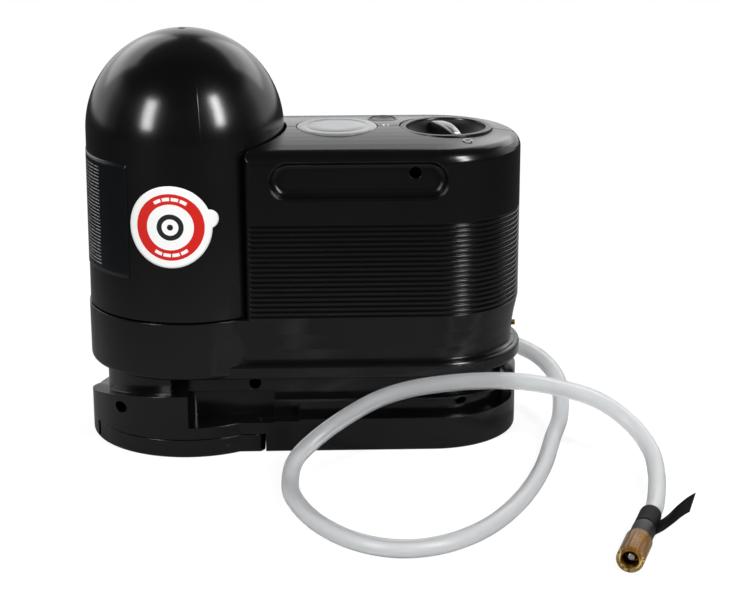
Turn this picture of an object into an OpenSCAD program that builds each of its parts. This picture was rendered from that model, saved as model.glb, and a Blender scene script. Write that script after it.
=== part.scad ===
// Portable tire inflator with a lift-off sealant canister.
// Millimetres. Origin at the middle of the object's footprint, +Z up, long side along X.

/* [Housing] */
// Distance between the canister's axis and the axis of the housing's round end
axis_gap = 124.5; // [120:0.5:132]
// Half width of the housing, and radius of its round end
body_w = 45.6; // [45:0.2:48]
// Wall thickness of the two casing shells
wall = 2.4; // [2:0.1:3]
// Height of the ribbed and plain side above the waist
side_h = 87.6; // [85:0.5:94]
// Radius of the crowned top, across the housing
crown_r = 255; // [200:5:400]
// Radius of the rounded edge between top and side
top_edge_r = 7; // [5:0.5:9]
// Radius of the upright edge beside the canister
corner_r = 3; // [2:0.5:4]
// Number of fine grooves round the housing
groove_n = 19; // [8:1:19]
// Distance from one groove to the next
groove_pitch = 2.57; // [2.4:0.01:2.65]
// Depth of a groove
groove_depth = 1.3; // [0.6:0.1:1.4]

/* [Waist and flange] */
// Height of the waist between the flange and the grooves
band_h = 24.4; // [23:0.2:28]
// How far the waist pulls in at its narrowest
band_in = 3.4; // [2:0.2:4]
// Height of the flange under the waist
flange_h = 7.5; // [6:0.5:9]
// How far the flange stands out past the housing
flange_out = 1.1; // [0.6:0.1:1.6]

/* [Base] */
// Height of the low front rim
rim_h = 17.5; // [16:0.5:20]
// Thickness of the rim
rim_t = 2; // [1.6:0.2:3]
// Depth of the channel floor below the rim
trough = 2.5; // [1.5:0.5:3]
// Height of the lower channel above the rim
low_ch_h = 8.5; // [7:0.5:10]
// Thickness of the rib between the channels
rib_t = 1.7; // [1.4:0.1:2.2]
// Height of the upper channel, where the hose lies
up_ch_h = 11.8; // [11:0.2:14]
// How far the base is set in from the housing
base_in = 0.6; // [0.4:0.1:1.5]
// How far the rib is set in from the housing
rib_in = 2.6; // [2:0.2:3.4]
// How far the channels reach in from the housing
neck_in = 8.3; // [8:0.1:9]
// Height of the round plate under the canister
plate_h = 9.5; // [9:0.5:12]
// Gap round the plate
plate_gap = 0.4; // [0.3:0.1:0.6]
// Diameter of the sunk screw holes
screw_hole_d = 6; // [5.6:0.2:6.4]

/* [Canister] */
// Radius of the canister's cover at its dome
can_r = 50; // [48:0.5:50.4]
// Extra radius of the cover at its lower edge
can_draft = 0.9; // [0.6:0.1:1.3]
// Height of the straight side of the cover
can_h = 88.3; // [80:0.5:100]
// Wall thickness of the cover
can_wall = 2; // [1.6:0.1:2.6]
// Gap between canister and housing
can_gap = 0.5; // [0.4:0.1:1]
// Outer radius of the round platform that the canister stands on
plat_r = 51.5; // [51:0.1:52]
// Outer radius of the base's round end
base_l_r = 52; // [51.6:0.1:52.4]
// Wall thickness of the sealant bottle
bottle_t = 1.6; // [1.2:0.1:2.2]
// Radius of the two spigots
spigot_r = 4; // [3.5:0.1:4.6]

/* [Controls] */
// Radius of the pressure gauge's window
gauge_r = 20.5; // [19:0.5:21]
// Distance of the gauge from the canister's axis
gauge_x = 76.7; // [76:0.5:78]
// Radius of the mode knob
knob_r = 23.4; // [22:0.2:24]
// Distance of the knob from the canister's axis
knob_x = 132; // [131:0.5:134]
// Depth of the knob's bowl
bowl_h = 8.4; // [7:0.2:9]
// Angle of the knob's grip at rest
grip_a = -72; // [-90:1:-60]
// Radius of the power button
button_r = 6.15; // [5.5:0.05:6.5]
// Distance of the power button from the canister's axis
button_x = 100.5; // [99:0.5:102]
// Distance of the power button behind the middle
button_y = 19; // [18:0.5:22]
// Travel of the power button
button_travel = 2; // [1:0.1:2.5]
// Gap round a moving control
ctl_gap = 0.35; // [0.3:0.05:0.5]

/* [Compressor] */
// Outer radius of the motor
motor_r = 19; // [17:0.5:20]
// Length of the motor's can
motor_l = 52; // [44:1:53]
// Height of the motor's shaft above the floor
motor_z = 85; // [83:0.5:87]
// Tooth size, as the gears' module
gear_m = 1; // [0.9:0.01:1.02]
// Teeth on the motor's pinion
pinion_n = 10; // [10:1:12]
// Teeth on the crank gear
gear_n = 44; // [40:1:46]
// Crank radius, half the piston's stroke
crank_r = 6; // [5:0.5:6.5]
// Bore radius of the cylinder
bore_r = 9; // [8:0.5:9.5]
// Length of the connecting rod
rod_l = 30; // [29:0.5:31]
// Radius of the gear's axle
axle_r = 2.5; // [2:0.1:3]

/* [Hose] */
// Outer diameter of the clear hose
hose_d = 8.5; // [7:0.1:8.8]
// Length of the dark sleeve behind the nut
ferrule_l = 15; // [12:0.5:18]
// Radius of the brass nut
nut_r = 5.3; // [5:0.1:5.5]
// Length of the brass nut
nut_l = 25; // [22:0.5:28]
// Thread radius of the nut, for a tyre valve
valve_thread_r = 3.85; // [3.6:0.05:4]

/* [Hidden] */
$fn = 72;
eps = 0.01;
x_can = (base_l_r - axis_gap - body_w - flange_out) / 2;
x_end = x_can + axis_gap;
xc_gauge = x_can + gauge_x;
xc_knob = x_can + knob_x;
xc_button = x_can + button_x;

z_floor = wall;
z_rib0 = rim_h + low_ch_h;
z_rib1 = z_rib0 + rib_t;
z_flange = z_rib1 + up_ch_h;
z_shoulder = z_flange + flange_h;
z_band = z_shoulder + band_h;
z_plat = z_band - 1;
z_top = z_band + side_h;

flange_w = body_w + flange_out;
base_w = body_w - base_in;
rib_w = body_w - rib_in;
neck_w = body_w - neck_in;
waist_w = body_w - band_in;
neck_l_r = base_l_r - neck_in - 0.3;

// Base details: the left round's rim, the fitting pocket, lug and plate
l_rim_z = z_rib1 + 5.1;
rim_slope = 13;
slot_w = 8.8;
plat_lift = 1.2;
pocket_x0 = x_can + 0.4;
pocket_l = 43.1;
recess_l = 12.5;
pocket_in = 14;
pocket_z0 = rim_h - 1.5;
pocket_z1 = z_rib1 + 2.8;
lug_z = z_rib1 + 4.8;
lug_w = 14.7;
lug_t = 4;
plate_x = x_can + 38.6;
plate_corner = 6;
bay_x0 = x_can + 14;
bay_x1 = x_can + 73;
bay_y = 24;

// Canister
can_z0 = z_plat + can_gap;
can_r0 = can_r + can_draft;
can_zs = can_z0 + can_h;
seat_r = can_r0 + can_gap;
spigot_dx = 14;
spigot_h = 12;
spigot_port_y = 8;
can_base_h = 16;
bottle_gap = 1.2;
bottle_r = can_r - can_wall - bottle_gap;
mouth_r = 12;
port_z = z_plat - wall - 7;
port_x1 = x_can + 30;
sticker_z = can_z0 + 49.2;
sticker_a = -6.4;
sticker_r = 20.6;
tab_a = 21.6;
tab_dz = 3.7;
tab_r = 4.7;
label_gap = 1.2;
label_span = 69;
label_z0 = can_z0 + 21;
label_z1 = can_zs - 9.3;
skin_t = 0.28;

// Grip recesses and screws
grip_r = 9.75;
grip_x0 = x_can + 42.2;
grip_x1 = x_can + 131.1;
grip_z = z_top - 17.9;
grip_in = 6.5;
grip_lip = 0.8;
grip_curve = 3.8;
top_corner_r = 7;
screw_head_r = 2.75;
screw_shank_r = 1.5;
boss_r = 5;
head_y = 12;
screw_at = [
  [x_can - 34, 23.4],
  [x_can + 34, 34.5],
  [x_can + 138.4, 24],
  [x_can + 114.6, grip_z + 2.5]
];

// Controls
knob_t = 1.6;
well_z = z_top - bowl_h - knob_t - ctl_gap - 0.4;
well_t = 2;
button_top = z_top - 0.5;
button_t = 4;
button_ring_h = button_t + button_travel + 0.3;
button_seat = button_top - button_ring_h - 0.1;
stem_hole_r = 4.4;
spring_wire_r = 0.35;
lens_t = 1.6;
switch_w = 11.2;
switch_z0 = z_top - 24;
switch_floor = switch_z0 + 3;
gauge_h = 15;
gauge_z0 = z_top - 1 - gauge_h;
needle_z = z_top - 5.6;
spindle_r = 3;
relief_z = z_shoulder + 6.5;
relief_r = 2.6;
relief_pin_r = 1.4;
inlet_x = bay_x0 + 12;
inlet_z = pocket_z0 + 10;
inlet_r = 4;
valve_r = 11;
valve_z1 = well_z - well_t - 0.3;
valve_z0 = valve_z1 - 24;
valve_port_z = valve_z0 + 7;
barb_l = 6;
barb_r = 2.2;
duct_r = 1.2;
tube_gap = 0.1;

// Compressor train, along X
cyl_x = x_can + 71.6;
gear_t = 6;
gear_x0 = cyl_x + 13;
plate_fx0 = gear_x0 + gear_t + 2;
plate_ft = 4;
motor_x0 = plate_fx0 + plate_ft;
frame_w = 40;
frame_drop = 21;
frame_rise = 13;
seat_l = 12;
hub_r = 6.5;
bolt_y = 13;
motor_t = 1.5;
magnet_x0 = motor_x0 + 8;
magnet_l = 30;
magnet_t = 3.5;
magnet_y = 4;
cap_t = 3;
brush_l = 8;
brush_y = 8.5;
core_x0 = motor_x0 + 13;
core_l = 24;
core_r = 5;
mesh_gap = 0.15;
gear_z = motor_z + gear_m * (pinion_n + gear_n) / 2 + mesh_gap;
crank_z = gear_z + crank_r;
wrist_z = crank_z - rod_l;
cyl_t = 3;
fin_t = 1.2;
fin_out = 2;
piston_h = 14;
piston_z0 = wrist_z - 8;
head_z1 = piston_z0 - 2 * crank_r - 1.5;
head_h = 9;
cyl_z1 = piston_z0 + piston_h + 3;
shaft_r = 1.5;
run_gap = 0.05;
end_w = 8;
crank_pin_r = 2.5;
open_gap = 0.4;
arm_y = gear_m * gear_n / 2 + 3;
arm_t = 4;
arm_z0 = motor_z + 3;
arm_h = 9;
head_r = bore_r + cyl_t + 1;
outlet_z = head_z1 - head_h / 2;
bolt_circle = head_r - 2.6;
fan_r = 14;
tube_r = 2.6;

// Hose, gland and valve connector
gland_r = 4.6;
gland_x0 = x_can + 130;
gland_x1 = gland_x0 + 10;
hose_y = neck_w + 4.9;
hose_z = z_rib1 + 5.3;
floor_z = 4.35;
lie_z = 6.5;
hose_end = [155, -157, lie_z];
fit_a = -109.6;
hose_r = hose_d / 2;
cap_r = nut_r + 1;
stem_r = 2.4;
stem_l = nut_l - 13;
nut_x1 = ferrule_l + nut_l;
thread_l = 7;
chamber_l = 10;

// ---- profiles and plans -------------------------------------------------

// Points of an arc from angle a0 to a1
function arc(cx, cy, r, a0, a1, n = 6) =
  [for (i = [0:n]) let (a = a0 + (a1 - a0) * i / n) [cx + r * cos(a), cy + r * sin(a)]];

// Crowned top of half width w at height top, down to its side
function crown(w, top, r) =
  let (
    xe = w - r,
    ze = top - crown_r + sqrt(pow(crown_r - r, 2) - xe * xe),
    at = atan2(ze - top + crown_r, xe)
  )
  concat(
    arc(xe, ze, r, 0, at, 8),
    [for (i = [1:6]) let (a = at + (90 - at) * i / 6) [crown_r * cos(a), top - crown_r + crown_r * sin(a)]]
  );

// One groove, read upward along a side at half width w
function groove(w, z) = [
  [w, z - 0.75], [w - 0.3, z - 0.5], [w - groove_depth, z - 0.4],
  [w - groove_depth, z + 0.4], [w - 0.3, z + 0.5], [w, z + 0.75]
];

// Half profile of the housing's outside, from the floor to the crowned top
function body_profile() = concat(
  [[0, 0]],
  arc(base_w - 1.7, 1.7, 1.7, -90, 0, 4),
  [
    [base_w, rim_h], [base_w - rim_t, rim_h], [base_w - rim_t, rim_h - trough],
    [neck_w, rim_h - trough], [neck_w, z_rib0], [rib_w, z_rib0], [rib_w, z_rib1],
    [neck_w, z_rib1], [neck_w, z_flange]
  ],
  arc(flange_w - 1.5, z_flange + 1.5, 1.5, -90, 0, 4),
  arc(flange_w - 1.5, z_shoulder - 1.5, 1.5, 0, 90, 4),
  [[waist_w + 1.6, z_shoulder]],
  arc(waist_w + 1.6, z_shoulder + 1.6, 1.6, 270, 180, 3),
  [[waist_w + 0.3, z_shoulder + 7], [body_w - 1.9, z_band - 9]],
  [for (i = [0:groove_n - 1]) each groove(body_w, z_band + 0.8 + i * groove_pitch)],
  crown(body_w, z_top, top_edge_r)
);

// Half profile of the housing's inside
function cavity_profile() = concat(
  [
    [0, z_floor], [base_w - wall, z_floor], [base_w - wall, rim_h - trough - wall],
    [neck_w - wall, rim_h - trough - wall], [neck_w - wall, z_flange + wall],
    [waist_w - wall, z_flange + wall + 3], [waist_w - wall, z_shoulder + 7],
    [body_w - 1.9 - wall, z_band - 9], [body_w - wall, z_band]
  ],
  crown(body_w - wall, z_top - wall, top_edge_r - wall)
);

// Half profile of the round end under the canister
function round_profile() = concat(
  [[0, 0]],
  arc(base_l_r - 1.7, 1.7, 1.7, -90, 0, 4),
  [[base_l_r, z_flange + plat_lift]],
  arc(plat_r - 2.5, z_flange + plat_lift + 2.5, 2.5, -90, 0, 5),
  [[plat_r, z_plat], [0, z_plat]]
);

// Half profile of the hollow in that round end
function round_cavity() = [
  [0, z_floor], [base_l_r - wall, z_floor], [base_l_r - wall, z_flange + plat_lift + wall],
  [plat_r - wall, z_flange + plat_lift + wall + 2], [plat_r - wall, z_plat - wall], [0, z_plat - wall]
];

// A half profile carried along the straight sides and round the far end
module run(points) {
  translate([x_end, 0, 0]) intersection() {
    rotate_extrude() polygon(points);
    translate([0, -100, -1]) cube([100, 200, z_top + 10]);
  }
  translate([x_can, 0, 0]) rotate([90, 0, 90]) linear_extrude(axis_gap) {
    polygon(points);
    mirror([1, 0]) polygon(points);
  }
}

// A half profile turned about the canister's axis
module round_end(points) {
  translate([x_can, 0, 0]) rotate_extrude() polygon(points);
}

// Footprint between the two axes, with its own radius at each end
module plan(rl, rr, grow = 0) {
  translate([x_can, 0]) circle(rl + grow);
  translate([x_end, 0]) circle(rr + grow);
  translate([x_can, -rr - grow]) square([axis_gap, 2 * (rr + grow)]);
}

// A cylinder along Y from y0 to y1
module rod_y(x, z, r, y0, y1) {
  translate([x, y0, z]) rotate([-90, 0, 0]) cylinder(r = r, h = y1 - y0);
}

// A cylinder along X from x0 to x1
module rod_x(y, z, r, x0, x1) {
  translate([x0, y, z]) rotate([0, 90, 0]) cylinder(r = r, h = x1 - x0);
}

// A ring between two radii
module ring(ro, ri, h) {
  difference() {
    cylinder(r = ro, h = h);
    translate([0, 0, -1]) cylinder(r = ri, h = h + 2);
  }
}

// ---- casing -------------------------------------------------------------

// Hollow that the canister stands in, with the housing's rounded upright edges
module canister_space() {
  yc = body_w - corner_r;
  xc = sqrt(pow(seat_r + corner_r, 2) - yc * yc);
  k = seat_r / (seat_r + corner_r);
  translate([x_can, 0, z_plat]) {
    cylinder(r = seat_r, h = z_top);
    translate([-body_w - seat_r, -body_w - 5, 0]) cube([body_w + seat_r, 2 * body_w + 10, z_top]);
    for (s = [-1, 1]) difference() {
      linear_extrude(z_top) polygon([
        [xc * k, s * yc * k], [xc, s * yc], [xc, s * (body_w + 5)], [0, s * (body_w + 5)], [0, s * yc * k]
      ]);
      translate([xc, s * yc, -1]) cylinder(r = corner_r, h = z_top + 2);
    }
  }
}

// Upright wall of the housing where it meets the canister
module canister_wall() {
  translate([x_can, 0, z_plat - wall]) cylinder(r = seat_r + wall, h = z_top);
}

// Obround standing in the XZ plane, from y = 0 outward to y = h
module obround(r, h) {
  rotate([-90, 0, 0]) linear_extrude(h) {
    translate([grip_x0 + grip_r, -grip_z]) circle(r);
    translate([grip_x1 - grip_r, -grip_z]) circle(r);
    translate([grip_x0 + grip_r, -grip_z - r]) square([grip_x1 - grip_x0 - 2 * grip_r, 2 * r]);
  }
}

// Half profile of a finger recess, from its floor out past the side
function grip_profile() = concat(
  [[0, body_w - grip_in]],
  arc(grip_r - grip_lip - grip_curve, body_w - grip_in + grip_curve, grip_curve, -90, 0, 6),
  [[grip_r - grip_lip, body_w - 1.3], [grip_r, body_w - 1], [grip_r, body_w + 10], [0, body_w + 10]]
);

// Finger recess cut into the front or the rear
module grip_cut(side) {
  scale([1, side, 1]) {
    for (x = [grip_x0 + grip_r, grip_x1 - grip_r]) translate([x, 0, grip_z]) rotate([-90, 0, 0])
      rotate_extrude() polygon(grip_profile());
    translate([grip_x0 + grip_r, 0, grip_z]) rotate([0, 90, 0]) linear_extrude(grip_x1 - grip_x0 - 2 * grip_r) {
      polygon(grip_profile());
      mirror([1, 0]) polygon(grip_profile());
    }
  }
}

// Rounding where the housing's top meets the upright edges beside the canister
module top_corner_cut() {
  r = top_corner_r;
  x0 = x_can + sqrt(pow(seat_r + corner_r, 2) - pow(body_w - corner_r, 2)) - corner_r - 0.4;
  z0 = z_top - r - 1.4;
  difference() {
    translate([x0, -60, z0]) cube([r, 120, r + 10]);
    rod_y(x0 + r, z0, r, -61, 61);
  }
}

// Space round the left round's neck, above its rim, whose top slopes up to the front
module rim_cut(inset) {
  intersection() {
    translate([x_can, 0, rim_h - inset])
      ring(base_l_r + 10, neck_l_r - inset, z_flange + plat_lift - rim_h + 2 * inset);
    translate([0, -base_l_r, l_rim_z - inset / cos(rim_slope)]) rotate([-rim_slope, 0, 0])
      translate([-200, -60, 0]) cube([400, 300, 80]);
  }
}

// Space beside the left round's neck, where the straight channels and the slot begin
module neck_end_cut() {
  x0 = pocket_x0 - slot_w;
  z1 = z_flange + plat_lift;
  translate([pocket_x0, -80, rim_h]) cube([60, 80 - neck_w, z1 - rim_h]);
  translate([x0, rim_t - base_l_r, pocket_z1]) cube([60, base_l_r - rim_t - neck_w, z1 - pocket_z1]);
  translate([x0, neck_w, rim_h]) cube([60, 40, z1 - rim_h]);
}

// Room of the channels' inner walls there, kept out of the hollow
module neck_end_walls() {
  x0 = pocket_x0 - slot_w - wall;
  translate([x0, -80, pocket_z1 - wall]) cube([75, 80 - neck_w + wall, z_flange - pocket_z1 + 2 * wall]);
  translate([x0, neck_w - wall, rim_h - wall]) cube([75, 40, z_flange - rim_h + 2 * wall]);
}

// Pocket in the front that stores the hose's connector, and its recess
module front_pocket() {
  yb = body_w - pocket_in;
  r = 5;
  z_h = pocket_z1 - pocket_z0;
  translate([0, -80, 0]) {
    translate([pocket_x0 + r, 0, pocket_z0]) cube([pocket_l - r, 80 - yb, z_h]);
    translate([pocket_x0, 0, pocket_z0]) cube([r + eps, 80 - yb - r, z_h]);
    translate([pocket_x0 + r, 80 - yb - r, pocket_z0]) cylinder(r = r, h = z_h);
    translate([pocket_x0 + pocket_l - eps, 0, pocket_z0 + 0.6])
      cube([recess_l, 80 - yb - 2, z_rib0 - pocket_z0 - 0.6]);
  }
}

// Bay in the rear for the cord, with its inlet
module rear_bay() {
  translate([bay_x0, bay_y, pocket_z0]) cube([bay_x1 - bay_x0, 60, z_flange - pocket_z0]);
}

// Raised outer wall at the far end of the channels
module lug() {
  w = base_w + lug_w;
  intersection() {
    translate([x_end, 0, 0]) difference() {
      cylinder(r = base_w, h = lug_z);
      translate([0, 0, -1]) cylinder(r = base_w - lug_t, h = lug_z + 2);
    }
    translate([x_end, 0, 0]) rotate([90, 0, 90]) linear_extrude(w) polygon(concat(
      [[lug_w, lug_z], [-lug_w, lug_z]],
      arc(-lug_w - 6, rim_h + 6, 6, 0, -90, 5),
      [[-lug_w - 6, rim_h - 1], [lug_w + 6, rim_h - 1]],
      arc(lug_w + 6, rim_h + 6, 6, -90, -180, 5)
    ));
  }
}

// Outline of the plate under the canister, set in by inset
module plate_plan(inset) {
  y_corner = base_w - plate_corner;
  intersection() {
    plan(base_l_r - inset, base_w - inset);
    union() {
      translate([-200, -80]) square([200 + plate_x - plate_corner, 160]);
      translate([plate_x - plate_corner - 1, -y_corner]) square([plate_corner + 1 - inset, 2 * y_corner]);
      for (s = [-1, 1]) translate([plate_x - plate_corner, s * y_corner]) circle(plate_corner - inset);
    }
  }
}

// Small notch in the plate's left end
module plate_notch() {
  translate([x_can, 0, 1.5]) rotate([0, 0, 205]) translate([base_l_r - 3, -1.6, 0]) cube([6, 3.2, plate_h - 1.5]);
}

// Solid outside of the casing
module casing_outside() {
  difference() {
    union() {
      run(body_profile());
      difference() {
        round_end(round_profile());
        rim_cut(0);
        neck_end_cut();
      }
      lug();
    }
    canister_space();
    top_corner_cut();
    front_pocket();
    rear_bay();
    grip_cut(-1);
    grip_cut(1);
  }
}

// Hollow of the casing, kept clear of the pocket, bay, recesses and wells
module casing_inside() {
  difference() {
    union() {
      difference() {
        run(cavity_profile());
        canister_wall();
      }
      difference() {
        round_end(round_cavity());
        rim_cut(wall);
      }
    }
    neck_end_walls();
    translate([pocket_x0 - wall, -80, pocket_z0 - wall]) cube([
      pocket_l + recess_l + 2 * wall, 80 - body_w + pocket_in + wall, pocket_z1 - pocket_z0 + 2 * wall
    ]);
    translate([bay_x0 - wall, bay_y - wall, pocket_z0 - wall])
      cube([bay_x1 - bay_x0 + 2 * wall, 60, z_flange - pocket_z0 + 2 * wall]);
    for (s = [-1, 1]) scale([1, s, 1]) translate([0, body_w - grip_in - wall, 0]) obround(grip_r + wall, 20);
    translate([xc_knob, 0, well_z - well_t]) cylinder(r = knob_r + ctl_gap + wall, h = 40);
    translate([xc_gauge, 0, z_top - 12]) cylinder(r = gauge_r + 0.3 + wall, h = 40);
    translate([xc_button, button_y, z_top - 9]) cylinder(r = button_r + 1.5 + wall, h = 40);
    for (p = screw_at) rod_y(p[0], p[1], boss_r, -80, 80);
    rod_y(plate_fx0 + plate_ft / 2, arm_z0 + arm_h / 2, boss_r - 1, -80, -arm_y - arm_t - 0.3);
    rod_y(plate_fx0 + plate_ft / 2, arm_z0 + arm_h / 2, boss_r - 1, arm_y + arm_t + 0.3, 80);
    translate([xc_button, button_y, 0]) translate([-9, 9, z_top - 22]) cube([18, 30, 12]);
  }
}

// Openings through the casing: controls, spigots, screws, hose, cord and relief pin
module casing_holes() {
  translate([xc_knob, 0, well_z]) cylinder(r = knob_r + ctl_gap, h = 40);
  translate([xc_knob, 0, well_z - well_t - 1]) cylinder(r = spindle_r + ctl_gap, h = 40);
  translate([xc_gauge, 0, z_top - 40]) cylinder(r = gauge_r + 0.3, h = 80);
  translate([xc_button, button_y, button_seat]) cylinder(r = button_r + 1.5, h = 40);
  translate([xc_button, button_y, z_top - 40]) cylinder(r = stem_hole_r, h = 40);
  for (s = [-1, 1]) translate([x_can + s * spigot_dx, 0, z_plat - 20]) cylinder(r = spigot_r + 1, h = 30);
  for (p = screw_at) {
    rod_y(p[0], p[1], screw_hole_d / 2, -80, -head_y);
    rod_y(p[0], p[1], screw_shank_r + 0.15, -head_y - 1, 14);
  }
  rod_y(gland_x0 + 4, hose_z, gland_r - 1, 20, neck_w + 1);
  rod_x(0, relief_z, relief_r, x_end + waist_w - 8, x_end + 80);
  rod_y(inlet_x, inlet_z, inlet_r, bay_y - wall - 1, bay_y + 1);
}

module casing() {
  difference() {
    casing_outside();
    casing_inside();
    casing_holes();
    translate([x_can - 80, -80, -1]) cube([80 + plate_x - x_can + plate_gap, 160, plate_h + plate_gap + 1]);
    plate_notch();
  }
}

module front_shell() color("#1b1b1d") intersection() {
  casing();
  translate([-200, -200, -10]) cube([400, 200, 400]);
}

module rear_shell() color("#232326") intersection() {
  casing();
  translate([-200, 0, -10]) cube([400, 200, 400]);
}

module bottom_plate() color("#202022") difference() {
  intersection() {
    union() {
      run(body_profile());
      round_end(round_profile());
    }
    translate([0, 0, -1]) linear_extrude(plate_h + 1) plate_plan(0);
  }
  translate([0, 0, z_floor]) linear_extrude(plate_h) plate_plan(wall);
  plate_notch();
}

// Case screws with cross recess, driven from the front
module case_screws() color("silver") for (p = screw_at) difference() {
  union() {
    rod_y(p[0], p[1], screw_head_r, -head_y - 2.2, -head_y);
    rod_y(p[0], p[1], screw_shank_r, -head_y - eps, 13);
  }
  translate([p[0], -head_y - 2.2, p[1]]) {
    cube([3, 2.4, 0.7], center = true);
    cube([0.7, 2.4, 3], center = true);
  }
}

// ---- pressure gauge -----------------------------------------------------

module gauge_case() color("#2a2a2c") translate([xc_gauge, 0, 0]) difference() {
  translate([0, 0, gauge_z0]) cylinder(r = gauge_r, h = gauge_h - 1.2);
  translate([0, 0, gauge_z0 + 2]) cylinder(r = gauge_r - 1.4, h = gauge_h);
  translate([0, 0, gauge_z0 - 1]) cylinder(r = 3.2, h = gauge_h);
}

module gauge_dial() color("#e9e9e6") translate([xc_gauge, 0, needle_z - 2.2])
  ring(gauge_r - 1.6, 1.6, 1);

module gauge_works() color("#b08d45") translate([xc_gauge, 0, 0]) {
  translate([0, 0, gauge_z0 - 3.2]) cylinder(r = 7, h = 3);
  translate([0, 0, gauge_z0 - 0.4]) cylinder(r = 3, h = needle_z - 3 - gauge_z0);
}

module gauge_needle() color("#c8202a") translate([xc_gauge, 0, 0]) {
  translate([0, 0, needle_z - 3.2]) cylinder(r = 1, h = 3.2);
  translate([0, 0, needle_z]) cylinder(r = 2.2, h = 1.2);
  rotate([0, 0, 225]) translate([-5, -0.5, needle_z + 0.2]) cube([gauge_r - 0.5, 1, 0.6]);
}

module gauge_lens() color("#dfe3e3", 0.6) translate([xc_gauge, 0, z_top - lens_t - 0.5]) {
  cylinder(r = gauge_r - 0.1, h = lens_t);
  translate([0, 0, lens_t]) cylinder(r1 = gauge_r - 0.1, r2 = gauge_r - 1.3, h = 0.7);
}

// ---- controls -----------------------------------------------------------

module mode_knob() color("#26262a") translate([xc_knob, 0, 0]) rotate([0, 0, grip_a]) difference() {
  union() {
    translate([0, 0, well_z + ctl_gap]) rotate_extrude() polygon(concat(
      [[0, 0], [knob_r - 6, 0], [knob_r, 5], [knob_r, z_top - well_z - ctl_gap + 0.1]],
      [[knob_r - 0.5, z_top - well_z - ctl_gap + 0.5], [knob_r - 2.7, z_top - well_z - ctl_gap + 0.5]],
      [for (i = [1:8]) let (a = 90 * i / 8)
        [(knob_r - 3.2) * cos(a), knob_t + bowl_h * (1 - sin(a))]]
    ));
    intersection() {
      translate([-knob_r, -2.6, well_z + ctl_gap + 0.2]) cube([2 * knob_r, 5.2, bowl_h + 3]);
      translate([0, 0, well_z + ctl_gap]) cylinder(r = knob_r - 3, h = 30);
      translate([0, 4, z_top + 0.9 - 62]) rotate([90, 0, 0]) cylinder(r = 62, h = 8);
    }
  }
  translate([0, 0, well_z]) cylinder(r = spindle_r + 0.01, h = 3 + ctl_gap + 0.01);
  translate([knob_r - 8.5, 0, z_top - 3]) cylinder(r = 1.7, h = 6);
}

module knob_dot() color("white") translate([xc_knob, 0, 0]) rotate([0, 0, grip_a])
  translate([knob_r - 8.5, 0, z_top - 3]) cylinder(r = 1.6, h = 2.6);

module knob_spindle() color("#8a8c90") translate([xc_knob, 0, 0]) {
  translate([0, 0, valve_z1 - 14]) cylinder(r = spindle_r, h = well_z + 3 - valve_z1 + 14 + ctl_gap);
  translate([0, 0, valve_z1 - 20]) rotate([0, 0, grip_a]) difference() {
    cylinder(r = 5, h = 6);
    rod_x(0, 3, 1.4, 0, 8);
  }
}

// Selector valve under the knob, with its three ports and the top gland
module valve_block() color("#5c6068") translate([xc_knob, 0, 0]) difference() {
  union() {
    translate([0, 0, valve_z0]) cylinder(r = valve_r, h = valve_z1 - valve_z0);
    for (a = [90, 270, 180]) rotate([0, 0, a]) rod_x(0, valve_port_z, barb_r, valve_r - 1, valve_r + barb_l);
  }
  translate([0, 0, valve_z1 - 20.3]) cylinder(r = 5 + run_gap, h = 6.6);
  translate([0, 0, valve_z1 - 14]) cylinder(r = spindle_r + run_gap, h = 20);
  for (a = [90, 270, 180]) rotate([0, 0, a]) rod_x(0, valve_port_z, duct_r, 4, valve_r + barb_l + 1);
}

// Power button with its stem, which meets the switch's floor at full travel
module power_button() color("#2c2c30") translate([xc_button, button_y, 0]) {
  z_stem = switch_floor + button_travel + 0.3;
  translate([0, 0, button_top - button_t]) cylinder(r = button_r, h = button_t - 0.6);
  translate([0, 0, button_top - 0.6]) cylinder(r1 = button_r, r2 = button_r - 0.6, h = 0.6);
  translate([0, 0, z_stem]) cylinder(r = 1.8, h = button_top - 1 - z_stem);
}

module button_ring() color("#45454a") translate([xc_button, button_y, button_top - button_ring_h])
  ring(button_r + 1.4, button_r + ctl_gap, button_ring_h);

module switch_body() color("#303034") translate([xc_button, button_y, switch_z0]) difference() {
  translate([-switch_w / 2 + 0.8, -5, 0]) cube([switch_w, 13.6, 14]);
  translate([0, 0, switch_floor - switch_z0]) cylinder(r = 3.9, h = 20);
}

// Coil spring round the stem, which lifts the power button
module button_spring() color("silver") translate([xc_button, button_y, switch_floor + 0.05]) {
  path = helix(3, spring_wire_r, 5, button_top - button_t - switch_floor - 0.1);
  echo("button_spring: least gap to itself", least_gap(path, spring_wire_r, 8));
  sweep(path, spring_wire_r, 6, [0, 0, 1]);
}

module relief_body() color("#b8923c") difference() {
  union() {
    rod_x(0, relief_z, relief_r - 0.1, x_end + waist_w - wall - 4, x_end + waist_w + 0.4);
    rod_x(0, relief_z, relief_r + 1.4, x_end + waist_w - wall - 6, x_end + waist_w - wall - 0.4);
  }
  rod_x(0, relief_z, relief_pin_r + run_gap, x_end, x_end + 100);
}

module relief_pin() color("#c9a24c")
  rod_x(0, relief_z, relief_pin_r, x_end + waist_w - wall - 5, x_end + waist_w + 2.4);

module power_inlet() color("#151517") difference() {
  union() {
    rod_y(inlet_x, inlet_z, inlet_r - 0.1, bay_y - wall - 4, bay_y + 1);
    rod_y(inlet_x, inlet_z, inlet_r + 2, bay_y + 0.1, bay_y + 4);
    rod_y(inlet_x, inlet_z, inlet_r + 2, bay_y - wall - 5, bay_y - wall - 0.2);
  }
  rod_y(inlet_x, inlet_z, 2.2, bay_y - 20, bay_y + 20);
}

// ---- compressor ---------------------------------------------------------

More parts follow.
